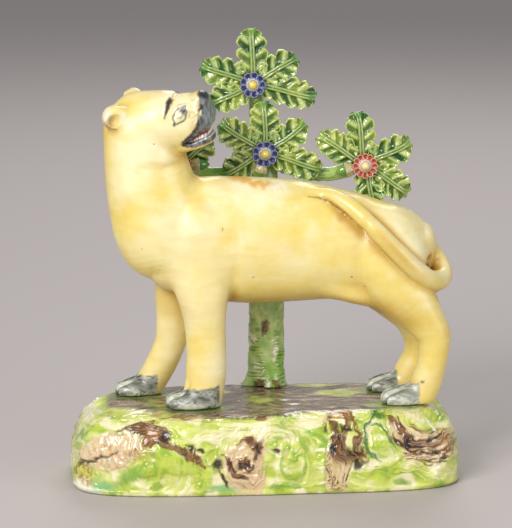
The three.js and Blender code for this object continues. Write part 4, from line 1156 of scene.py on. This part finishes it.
def closed_grid(points, start=0):
    """The faces of a tube's grid, closed at both ends by a fan to a middle point, and those middle points."""
    rows, columns = points.shape[:2]
    first, last = start + np.arange(columns), start + (rows - 1) * columns + np.arange(columns)
    end = start + rows * columns
    middles = np.array([points[0].mean(axis=0), points[-1].mean(axis=0)])
    return [grid_faces(rows, columns, start=start),
            np.stack([np.roll(first, -1), first, np.full(columns, end)], axis=1),
            np.stack([last, np.roll(last, -1), np.full(columns, end + 1)], axis=1)], middles


def gather(shells):
    """
    Several closed shells as one mesh. Each shell is a grid of points and a dictionary of masks of the same grid;
    a shell's end points take the mean of the masks' end rows.
    """
    all_points, all_faces, all_masks, start = [], [], {}, 0
    for points, masks in shells:
        faces, middles = closed_grid(points, start)
        all_faces += faces
        all_points += [points.reshape(-1, 3), middles]
        start += points.shape[0] * points.shape[1] + 2
        for name, values in masks.items():
            values = np.broadcast_to(values, points.shape[:2])
            all_masks.setdefault(name, []).append(np.concatenate([values.ravel(), [values[0].mean(), values[-1].mean()]]))
    return (np.vstack(all_points), [np.vstack([f for f in all_faces if f.shape[1] == n]) for n in (4, 3)],
            {name: np.concatenate(parts) for name, parts in all_masks.items()})


def barked(path, rows, columns, roots=False):
    """A trunk or branch: a tube with a few soft bark ridges and short cuts across, and roots flaring at its foot."""
    points, along, turn, away = tube(path, rows, columns)
    flat = points.reshape(-1, 3)
    shape = points.shape[:2]
    warp = ripple(flat, 9, 41).reshape(shape)
    ridges = 0.5 + 0.5 * np.sin(4 * turn[None] + 1.8 * warp + 1.2)
    cuts = smooth(ripple(flat * [0.7, 0.7, 2.4], 3.4, 43).reshape(shape) * 1.6 - 0.4) * smooth(
        0.6 + ripple(flat * [1, 1, 0.4], 12, 44).reshape(shape))
    relief = 0.25 * ridges - 0.3 * cuts + 0.12 * warp - 0.3
    hollow = np.clip(0.5 * smooth(0.4 - ridges) + 0.8 * cuts, 0, 1)
    knot = root_cream = chips = np.zeros(shape)
    if roots:
        front = (points[..., 1] < 26.5).astype(float)
        plan = points[..., [0, 2]].reshape(-1, 2)
        plan = plan + 0.4 * np.stack([ripple(plan, 2.2, 45), ripple(plan, 2.0, 46)], axis=1)
        height = np.maximum(points[..., 2] - MOUND_HEIGHT - JOINT_GAP, 0)
        foot = np.exp(-height / 2.4)
        relief = relief + foot * 1.3 * (0.4 + np.cos(3 * (turn[None] - np.pi / 2)))
        knot = np.maximum(spot(plan, (1.6, 58.2), (1.9, 3.6), -10, 0.35).reshape(shape) * front,
                          0.9 * (spot(plan, (-1.2, 33.2), (2.6, 1.9), 20, 0.3)
                                 + spot(plan, (6.4, 33.4), (1.8, 1.3), -20, 0.3)).reshape(shape) * front)
        root_cream = stroke(plan, [(3.2, 36.4, 0.3), (3, 33.4, 0.8), (2.6, 31, 1.2)], 0.4).reshape(shape) * front
        chips = np.maximum.reduce([spot(plan, at, size, angle, 0.25) for at, size, angle in [
            ((-3.4, 53.4), (1.1, 1.9), 10), ((-4.6, 50.4), (0.7, 0.8), 0), ((6.4, 47.6), (1.2, 2.2), -12),
            ((6, 43.6), (0.8, 0.8), 0), ((5.4, 52.4), (0.5, 0.6), 0), ((-2.8, 41), (0.5, 0.7), 0)]]).reshape(shape) * front
        relief = relief - 0.8 * knot + 0.5 * root_cream + 0.25 * chips
    body = np.ones(len(along))
    body[:5] = body[-5:] = 0
    points = points + away * (relief * body[:, None])[..., None]
    if roots:
        points[..., 2] = np.maximum(points[..., 2], MOUND_HEIGHT + JOINT_GAP)
    return points, {"hollow": hollow, "knot": knot, "root": np.maximum(root_cream, chips)}


tree_shells = [barked(TRUNK, 300, 96, roots=True)]
for path in BRANCHES.values():
    tree_shells.append(barked([[*p, BRANCH_RADIUS, BRANCH_RADIUS] for p in path], 120, 32))
tree_points, tree_faces, tree_masks = gather(tree_shells)
tree_trunk = piece("oak_trunk", tree_points, tree_faces, tree_masks)
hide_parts("tree_trunk")


def bark_glaze():
    """Green glaze in broad light and dark patches, with a brown knot, brown foot arches and bare cream chips."""
    material, tree, shader, place = new_glaze("bark glaze")
    mottling = group(tree, MOTTLING, {"Vector": place, "Breadth": 210.0})
    broad = group(tree, MOTTLING, {"Vector": place, "Breadth": 75.0})
    colour = blend(tree, broad.outputs["Clouds"], glaze("8fc043"), glaze("cfdb96"))
    colour = blend(tree, times(tree, mottling.outputs["Clouds"], 0.55), colour, glaze("5a9432"))
    colour = blend(tree, times(tree, mask_of(tree, "hollow"), 0.65), colour, glaze("356a2a"))
    patches = wire(tree, "ShaderNodeTexNoise", {"Vector": place, "Scale": 150.0, "Detail": 5.0, "Roughness": 0.65})
    bare = wire(tree, "ShaderNodeMapRange", {"Value": patches.outputs["Fac"], "From Min": 0.66, "From Max": 0.69})
    colour = blend(tree, times(tree, bare.outputs["Result"], 0.8), colour, glaze("ece6cf"))
    flecks = wire(tree, "ShaderNodeMapRange", {"Value": mottling.outputs["Fine"], "From Min": 0.4, "From Max": 0.6})
    brown = blend(tree, flecks.outputs["Result"], glaze("3a2a20"), glaze("8a6038"))
    colour = blend(tree, mask_of(tree, "knot"), colour, brown)
    colour = blend(tree, mask_of(tree, "root"), colour, glaze("ece3cb"))
    finish_glaze(tree, shader, colour, mottling, rough=(0.15, 0.4), bump=0.35, depth=0.0005, coat=0.5)
    return material


tree_trunk.data.materials.append(bark_glaze())

# The leaf sprays
# Each spray is five oak leaves pressed in one from a small mould: lobed edges, a double midrib and hollows that
# hold dark green. Three have an acorn beside the flower. Each is luted to the trunk or to the end of a branch.

LEAF_HALF_WIDTH = 6.7
LEAF_THICKNESS = 1.3
LEAF_ARCH = 1.6
ARCH_RATE = 6.75
HUB_FRONT, HUB_BACK, HUB_RADIUS = 2.0, 1.4, 5.0
SPRAYS = {  # centre; each leaf's angle, length and lobes; small basal lobes' angles; acorn's angle
    "top": dict(at=(-3.3, 25.3, 163.3), leaves=[(90, 24.4, 4), (159, 23.8, 4), (207, 20.2, 4), (30, 22.8, 4), (-13, 28.8, 5)],
                buds=[(127, 7.4), (50, 7.2)], acorn=None),
    "middle": dict(at=(1.8, 23.4, 133.9), leaves=[(90, 22.8, 5), (145, 23.6, 5), (208, 20.4, 4), (35, 22.4, 4), (-17, 26.4, 5)],
                   buds=[(118, 8.2), (62, 8.2)], acorn=254),
    "right": dict(at=(44.6, 23.6, 128.2), leaves=[(147, 24.2, 5), (98, 23.8, 4), (26, 23, 4), (-33, 24, 5), (-76, 18.4, 4)],
                  buds=[(-42, 8.4), (62, 7.4)], acorn=194),
    "left": dict(at=(-34.6, 23.6, 129), leaves=[(39, 18.4, 4), (83, 23.6, 4), (152, 23.6, 5), (213, 24, 4), (256, 18.4, 4)],
                 buds=[(118, 7.4), (182, 7.4)], acorn=2)}
# The outline without its lobes: share of the length, share of the half width.
OUTLINE = np.array([(0, 0.28), (0.12, 0.4), (0.2, 0.86), (0.3, 1.04), (0.5, 1.1), (0.7, 1.02), (0.84, 0.86), (0.93, 0.74),
                    (1, 0.52)])


def on_spray(points, at, degrees):
    """Carries a leaf that lies along +X with its front up to its place: turned in the spray's upright plane."""
    c, s = np.cos(np.radians(degrees)), np.sin(np.radians(degrees))
    along, across, front = np.array([c, 0, s]), np.array([-s, 0, c]), np.array([0, -1.0, 0])
    return points[..., :1] * along + points[..., 1:2] * across + points[..., 2:] * front + np.array(at)


def oak_leaf(length, lobes, seed, rows=96, half=20):
    """
    A leaf as one closed shell: along its length by once round its section, front and back. The half width is the
    outline times the lobes, |sin(pi p)|^0.5, where p counts the lobes from the stalk and leans forward away from
    the midrib. Each lobe is a dish with a raised rim; its size, depth and tilt are its own.
    """
    rng = np.random.default_rng(seed)
    s = 1 - (1 - np.linspace(0, 1, rows)) ** 1.1
    front_t = np.sin(np.linspace(np.pi / 2, -np.pi / 2, 2 * half + 1))
    front_t = 0.5 * front_t + 0.5 * np.linspace(1, -1, 2 * half + 1)
    t = np.concatenate([front_t, front_t[::-1][1:-1]])
    is_front = (np.arange(len(t)) <= 2 * half)[None]
    S, T = np.meshgrid(s, t, indexing="ij")
    out = np.abs(T)
    near_side = T >= 0
    notches = np.append(0.13 + 0.67 * (np.arange(lobes) / (lobes - 1)) ** 0.94, 1.16)
    notches = notches + rng.uniform(-0.022, 0.022, (2, lobes + 1))
    count = np.arange(lobes + 1)

    def lobe_place(along):
        return np.where(near_side, np.interp(along, notches[0], count), np.interp(along, notches[1], count))

    def lobe_own(values, place):
        return values[near_side.astype(int), np.minimum(place.astype(int), lobes - 1)]

    at_edge = lobe_place(S)
    inner = lobe_place(S + 0.13 * (1 - out) ** 0.9)
    size = lobe_own(rng.uniform(0.9, 1.08, (2, lobes)), at_edge)
    bow = np.abs(np.sin(np.pi * at_edge)) ** 0.5
    bow = bow * (1 - 0.1 * np.abs(np.sin(2.5 * np.pi * at_edge + rng.uniform(0, 3))))
    notch_depth = 0.4 * smooth((S - 0.1) / 0.12)
    base = np.interp(S, OUTLINE[:, 0], OUTLINE[:, 1])
    width = np.minimum(LEAF_HALF_WIDTH * base * (1 - notch_depth * (1 - bow * size)), LEAF_HALF_WIDTH * 1.04)
    split = smooth((S - 0.8) / 0.2)
    x = S * length + 1.3 * out ** 1.6 * smooth((S - 0.1) / 0.3) * (1 - split) - split * (
        1.6 * (1 - out) ** 1.6 + 2.3 * out ** 3.5)
    y = T * width + 0.35 * np.sin(5 * S + rng.uniform(0, 6))
    reach = np.abs(T * width)
    rise = LEAF_ARCH * (ARCH_RATE * S * S * (1 - S) - 0.5 * S ** 3)
    rib = smooth((1.02 - S) / 0.25)
    dish = np.abs(np.sin(np.pi * inner)) ** 1.2 * smooth((reach - 1.1) / 1.1) * smooth((1.0 - out) / 0.34)
    dish = dish * smooth((S - 0.1) / 0.1) * lobe_own(rng.uniform(0.65, 1.15, (2, lobes)), inner)
    tilt = lobe_own(rng.uniform(-0.45, 0.6, (2, lobes)), at_edge) * out ** 2 * bow
    vein = np.exp(-((np.abs(np.sin(np.pi * (inner + 0.5))) - 1) / 0.12) ** 2) * smooth((reach - 0.9) / 0.8)
    lines = np.exp(-((reach - 0.62) / 0.26) ** 2) * rib
    gutters = (np.exp(-((reach - 1.35) / 0.34) ** 2) + 0.8 * np.exp(-(reach / 0.24) ** 2)) * rib
    rim = smooth((out - 0.55) / 0.4)
    body = LEAF_THICKNESS * (1.05 - 0.5 * S) * (1 - 0.75 * smooth(reach / 3.2)) + 0.5 * rim
    front_z = rise + body - 1.15 * dish + 0.5 * lines - 0.5 * gutters + 0.25 * vein + tilt
    rim_z = rise - 0.35 + tilt
    back_z = rise - 0.95 - 0.35 * (1 - out) + tilt * 0.8
    soften = smooth((1 - out) / 0.06)
    front_z = rim_z + (np.maximum(front_z, back_z + 0.5) - rim_z) * soften
    back_z = rim_z + (back_z - rim_z) * soften
    masks = {"hollow": np.where(is_front, np.clip(dish + 0.9 * gutters, 0, 1), 0.3),
             "crest": np.where(is_front, np.clip(smooth((out - 0.84) / 0.1) * bow + 1.2 * lines + 0.8 * vein, 0, 1), 0.0),
             "tone": lobe_own(rng.uniform(0, 1, (2, lobes)), inner) * smooth((reach - 0.8) / 1)}
    return np.stack([x, y, np.where(is_front, front_z, back_z)], axis=-1), masks


def disc(radius, low, high, rows=7, columns=24):
    """A low round boss: rings from the middle of the back, out and up round the edge, to the middle of the front."""
    bend = np.linspace(-np.pi / 2, np.pi / 2, 2 * rows + 1)
    turn = np.linspace(0, TAU, columns, endpoint=False)
    reach = radius * np.cos(bend) ** 0.5
    reach[0] = reach[-1] = 0.02 * radius
    z = low + (high - low) * (0.5 + 0.5 * np.sin(bend))
    return np.stack([reach[:, None] * np.cos(turn), reach[:, None] * np.sin(turn), np.repeat(z[:, None], columns, 1)], -1)


def acorn_shells():
    """An acorn along +X: the nut as a pointed barrel and the cup as a knobbly bowl round its near half."""
    turn = np.linspace(0, TAU, 28, endpoint=False)
    shells = []
    for places, radii, knobs, cup in [
        (np.array([5.4, 6.6, 8, 9.6, 11, 12.2, 13]), np.array([0.1, 2.2, 2.6, 2.5, 2, 1.1, 0.12]), 0.0, 0.0),
        (np.array([4, 4.4, 5.4, 6.8, 8.2, 8.6, 8.3]), np.array([0.1, 1.3, 2.5, 3.1, 3.2, 2.9, 2.4]), 0.16, 1.0)]:
        fine = np.linspace(0, 1, 26)
        x = np.interp(fine, np.linspace(0, 1, 7), places)
        r = np.interp(fine, np.linspace(0, 1, 7), radii)
        bumps = 1 + knobs * np.sin(7 * turn[None] + 3 * x[:, None]) * np.sin(2.6 * x[:, None]) * smooth(r[:, None] - 1)
        shell = np.stack([np.repeat(x[:, None], 28, 1), r[:, None] * bumps * np.cos(turn),
                          1.6 + r[:, None] * 0.86 * bumps * np.sin(turn)], -1)
        shells.append((shell, {"hollow": 0.2 * (1 - cup), "crest": 0.0, "tone": 0.3, "cup": cup}))
    return shells


def leaf_spray(name, layout, seed):
    """One spray: leaves, hub, small basal lobes and acorn as one pressed and glazed piece."""
    at = layout["at"]
    shells = []
    for number, (degrees, length, lobes) in enumerate(layout["leaves"]):
        points, masks = oak_leaf(length, lobes, seed + number)
        shells.append((on_spray(points, at, degrees), {**masks, "cup": 0.0}))
    shells.append((on_spray(disc(HUB_RADIUS, -HUB_BACK, HUB_FRONT - 0.15), at, 0), {"hollow": 0.6, "crest": 0.0, "tone": 0.2, "cup": 0.0}))
    for degrees, reach in layout["buds"]:
        bud = disc(2.1, -0.8, 1.5)
        dish = smooth(1 - np.hypot(bud[..., 0], bud[..., 1]) / 1.5) * (bud[..., 2] > 0.4)
        bud[..., 2] -= 0.8 * dish
        bud[..., 0] += reach
        shells.append((on_spray(bud, at, degrees), {"hollow": dish, "crest": 0.5 * (1 - dish), "tone": 0.2, "cup": 0.0}))
    if layout["acorn"] is not None:
        shells += [(on_spray(points, at, layout["acorn"]), masks) for points, masks in acorn_shells()]
    points, faces, masks = gather(shells)
    spray = piece(f"oak_spray_{name}", points, faces, masks)
    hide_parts(f"leaf_spray_{name}")
    return spray


def leaf_glaze():
    """Yellow-green glaze: pale on the raised rims and ribs, dark green pooled in the hollows, cream on acorn cups."""
    material, tree, shader, place = new_glaze("leaf glaze")
    mottling = group(tree, MOTTLING, {"Vector": place, "Breadth": 260.0})
    broad = group(tree, MOTTLING, {"Vector": place, "Breadth": 75.0})
    shade = wire(tree, "ShaderNodeMath", {0: broad.outputs["Clouds"], 1: mask_of(tree, "tone")}, operation="ADD")
    shade = wire(tree, "ShaderNodeMapRange", {"Value": shade.outputs[0], "From Min": 0.3, "From Max": 1.5})
    colour = blend(tree, shade.outputs["Result"], glaze("4f8a30"), glaze("b4c44e"))
    colour = blend(tree, times(tree, mottling.outputs["Clouds"], 0.5), colour, glaze("3f7a2c"))
    pooled = wire(tree, "ShaderNodeMapRange", {"Value": mask_of(tree, "hollow"), "From Min": 0.15, "From Max": 0.8})
    depth = wire(tree, "ShaderNodeMapRange", {"Value": shade.outputs["Result"], "To Min": 0.98, "To Max": 0.5})
    colour = blend(tree, times(tree, pooled.outputs["Result"], depth.outputs["Result"]), colour, glaze("173f18"))
    colour = blend(tree, times(tree, mask_of(tree, "crest"), 0.7), colour, glaze("d6dc8c"))
    colour = blend(tree, times(tree, mask_of(tree, "cup"), 0.8), colour, glaze("c9b48a"))
    finish_glaze(tree, shader, colour, mottling, rough=(0.06, 0.2), bump=0.3, depth=0.0003, coat=0.8)
    return material


LEAF_GLAZE = leaf_glaze()
for seed, (name, layout) in enumerate(SPRAYS.items()):
    leaf_spray(name, layout, 50 + 10 * seed).data.materials.append(LEAF_GLAZE)

# The flowers
# Small moulded rosettes stuck on each hub: nine cobalt-blue petals round a yellow eye on the two upright sprays,
# and twelve orange-red ones round a cream eye on the two side sprays.

FLOWER_RADIUS = 5.6


def rosette(petals):
    """
    A rosette as one closed shell of rings. The rim's radius is scalloped by the petals, |cos(n a / 2)|^0.5; each petal
    is cupped, with a raised edge, round a domed eye.
    """
    columns = petals * 14
    turn = np.linspace(0, TAU, columns, endpoint=False)
    petal = np.abs(np.cos(petals * turn / 2)) ** 0.5
    rim = FLOWER_RADIUS * (0.80 + 0.19 * petal)
    share = np.concatenate([np.linspace(0.02, 0.97, 12), [1.0, 1.0, 0.985], np.linspace(0.96, 0.02, 44)])
    front = np.arange(len(share)) >= 14
    reach = share[:, None] * rim
    cup = np.sin(np.pi * np.clip((share - 0.36) / 0.6, 0, 1))[:, None] * petal ** 1.5
    cleft = (1 - petal) * smooth((share[:, None] - 0.4) / 0.2)
    eye_dome = 1.5 * np.sqrt(np.clip(1 - (share[:, None] / 0.36) ** 2, 0, 1))
    ring = 0.35 * np.exp(-((share[:, None] - 0.43) / 0.05) ** 2)
    top = 2.2 - 0.8 * share[:, None] - 0.75 * cup + ring - 0.7 * cleft + eye_dome + 0.5 * smooth((share[:, None] - 0.8) / 0.15)
    bottom = 0.9 * (share[:, None] ** 2) + 0 * top
    z = np.where(front[:, None], np.maximum(top, bottom + 0.3), bottom)
    z[12], z[13] = bottom[12], 0.5 * (bottom[12] + top[14])
    points = np.stack([reach * np.cos(turn), reach * np.sin(turn), z], -1)
    wide = np.ones((1, columns))
    masks = {
        "eye": front[:, None] * smooth((0.37 - share[:, None]) / 0.05) * wide,
        "ring": front[:, None] * np.exp(-((share[:, None] - 0.45) / 0.07) ** 2) * wide,
        "cupped": front[:, None] * cup,
        "edge": np.clip(front[:, None] * (smooth((share[:, None] - 0.9) / 0.08) + 0.7 * smooth(3 * (1 - petal) - 0.6)), 0, 1)}
    return points, masks


def flower_enamel(name, petal, deep, line, eye):
    """Enamel petals, deepest in their cups and pale along their edges, round a ring and a bright eye."""
    material, tree, shader, place = new_glaze(name)
    mottling = group(tree, MOTTLING, {"Vector": place, "Breadth": 420.0})
    colour = blend(tree, mottling.outputs["Clouds"], glaze(petal), glaze(deep))
    colour = blend(tree, times(tree, mask_of(tree, "cupped"), 0.9), colour, glaze(deep))
    colour = blend(tree, times(tree, mask_of(tree, "edge"), 0.7), colour, glaze(line))
    colour = blend(tree, times(tree, mask_of(tree, "ring"), 0.85), colour, glaze("e9e6df"))
    colour = blend(tree, mask_of(tree, "eye"), colour, glaze(eye))
    finish_glaze(tree, shader, colour, mottling, rough=(0.1, 0.25), bump=0.3, depth=0.0002, coat=0.7)
    return material


BLUE_ENAMEL = flower_enamel("blue enamel", "33408c", "141a4e", "a9aed0", "e8cf58")
ORANGE_ENAMEL = flower_enamel("orange enamel", "c75a34", "99371f", "f1d0b4", "f0dd9c")
for name, layout in SPRAYS.items():
    blue = name in ("top", "middle")
    points, masks = rosette(9 if blue else 12)
    x, y, z = layout["at"]
    flower_points, flower_faces, flower_masks = gather([(on_spray(points, (x, y - HUB_FRONT - JOINT_GAP, z), 0), masks)])
    flower = piece(f"rosette_{name}", flower_points, flower_faces, flower_masks)
    flower.data.materials.append(BLUE_ENAMEL if blue else ORANGE_ENAMEL)
    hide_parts(f"flower_{name}")

# The studio
# A pale matt table that runs on out of sight, soft light from the upper left, a weaker light from the right, and a
# camera a little above the figure and slightly to its left.


def studio_floor():
    """A wide flat sheet just under the mound."""
    half = 3000.0
    corners = np.array([[-half, -half, -0.05], [half, -half, -0.05], [half, half, -0.05], [-half, half, -0.05]]) * MM
    mesh = bpy.data.meshes.new("studio_floor")
    mesh.from_pydata(corners.tolist(), [], [[0, 1, 2, 3]])
    floor = bpy.data.objects.new("studio_floor", mesh)
    bpy.context.scene.collection.objects.link(floor)
    material = bpy.data.materials.new("pale table")
    material.use_nodes = True
    material.node_tree.nodes["Principled BSDF"].inputs["Base Color"].default_value = (*glaze("b9b1ae"), 1)
    material.node_tree.nodes["Principled BSDF"].inputs["Roughness"].default_value = 0.7
    mesh.materials.append(material)


def soft_light(name, place, size, power, target=(0, 0, 0.09), colour=(1, 1, 1)):
    """A square soft box aimed at the figure."""
    lamp = bpy.data.lights.new(name, "AREA")
    lamp.size = size
    lamp.energy = power
    lamp.color = colour
    holder = bpy.data.objects.new(name, lamp)
    aim = np.array(target) - np.array(place)
    holder.location = place
    from mathutils import Vector
    holder.rotation_euler = Vector(aim).to_track_quat("-Z", "Y").to_euler()
    bpy.context.scene.collection.objects.link(holder)


studio_floor()
soft_light("key", (-0.62, -0.85, 0.72), 0.6, 13.5)
soft_light("fill", (0.9, -0.8, 0.35), 0.7, 4.5)
soft_light("back", (0.2, 0.9, 0.9), 0.6, 5.0)
bpy.context.scene.view_settings.view_transform = "Standard"
world = bpy.data.worlds.new("studio")
bpy.context.scene.world = world
world.use_nodes = True
world.node_tree.nodes["Background"].inputs["Color"].default_value = (0.78, 0.78, 0.8, 1)
world.node_tree.nodes["Background"].inputs["Strength"].default_value = 0.45

AZIMUTH, ELEVATION = np.radians(-4.5), np.radians(11)
CAMERA_DISTANCE = 1.2
CAMERA_TARGET = np.array([0, 0, 0.098])
away = np.array([np.sin(AZIMUTH) * np.cos(ELEVATION), -np.cos(AZIMUTH) * np.cos(ELEVATION), np.sin(ELEVATION)])
lens = bpy.data.cameras.new("camera")
lens.sensor_fit = "AUTO"
lens.sensor_width = 36
lens.lens = 36 * 2857 / 528
lens.shift_x = -8.5 / 528
lens.shift_y = -18 / 528
camera = bpy.data.objects.new("camera", lens)
camera.location = CAMERA_TARGET + CAMERA_DISTANCE * away
camera.rotation_euler = (np.pi / 2 - ELEVATION, 0, AZIMUTH)
bpy.context.scene.collection.objects.link(camera)
bpy.context.scene.camera = camera
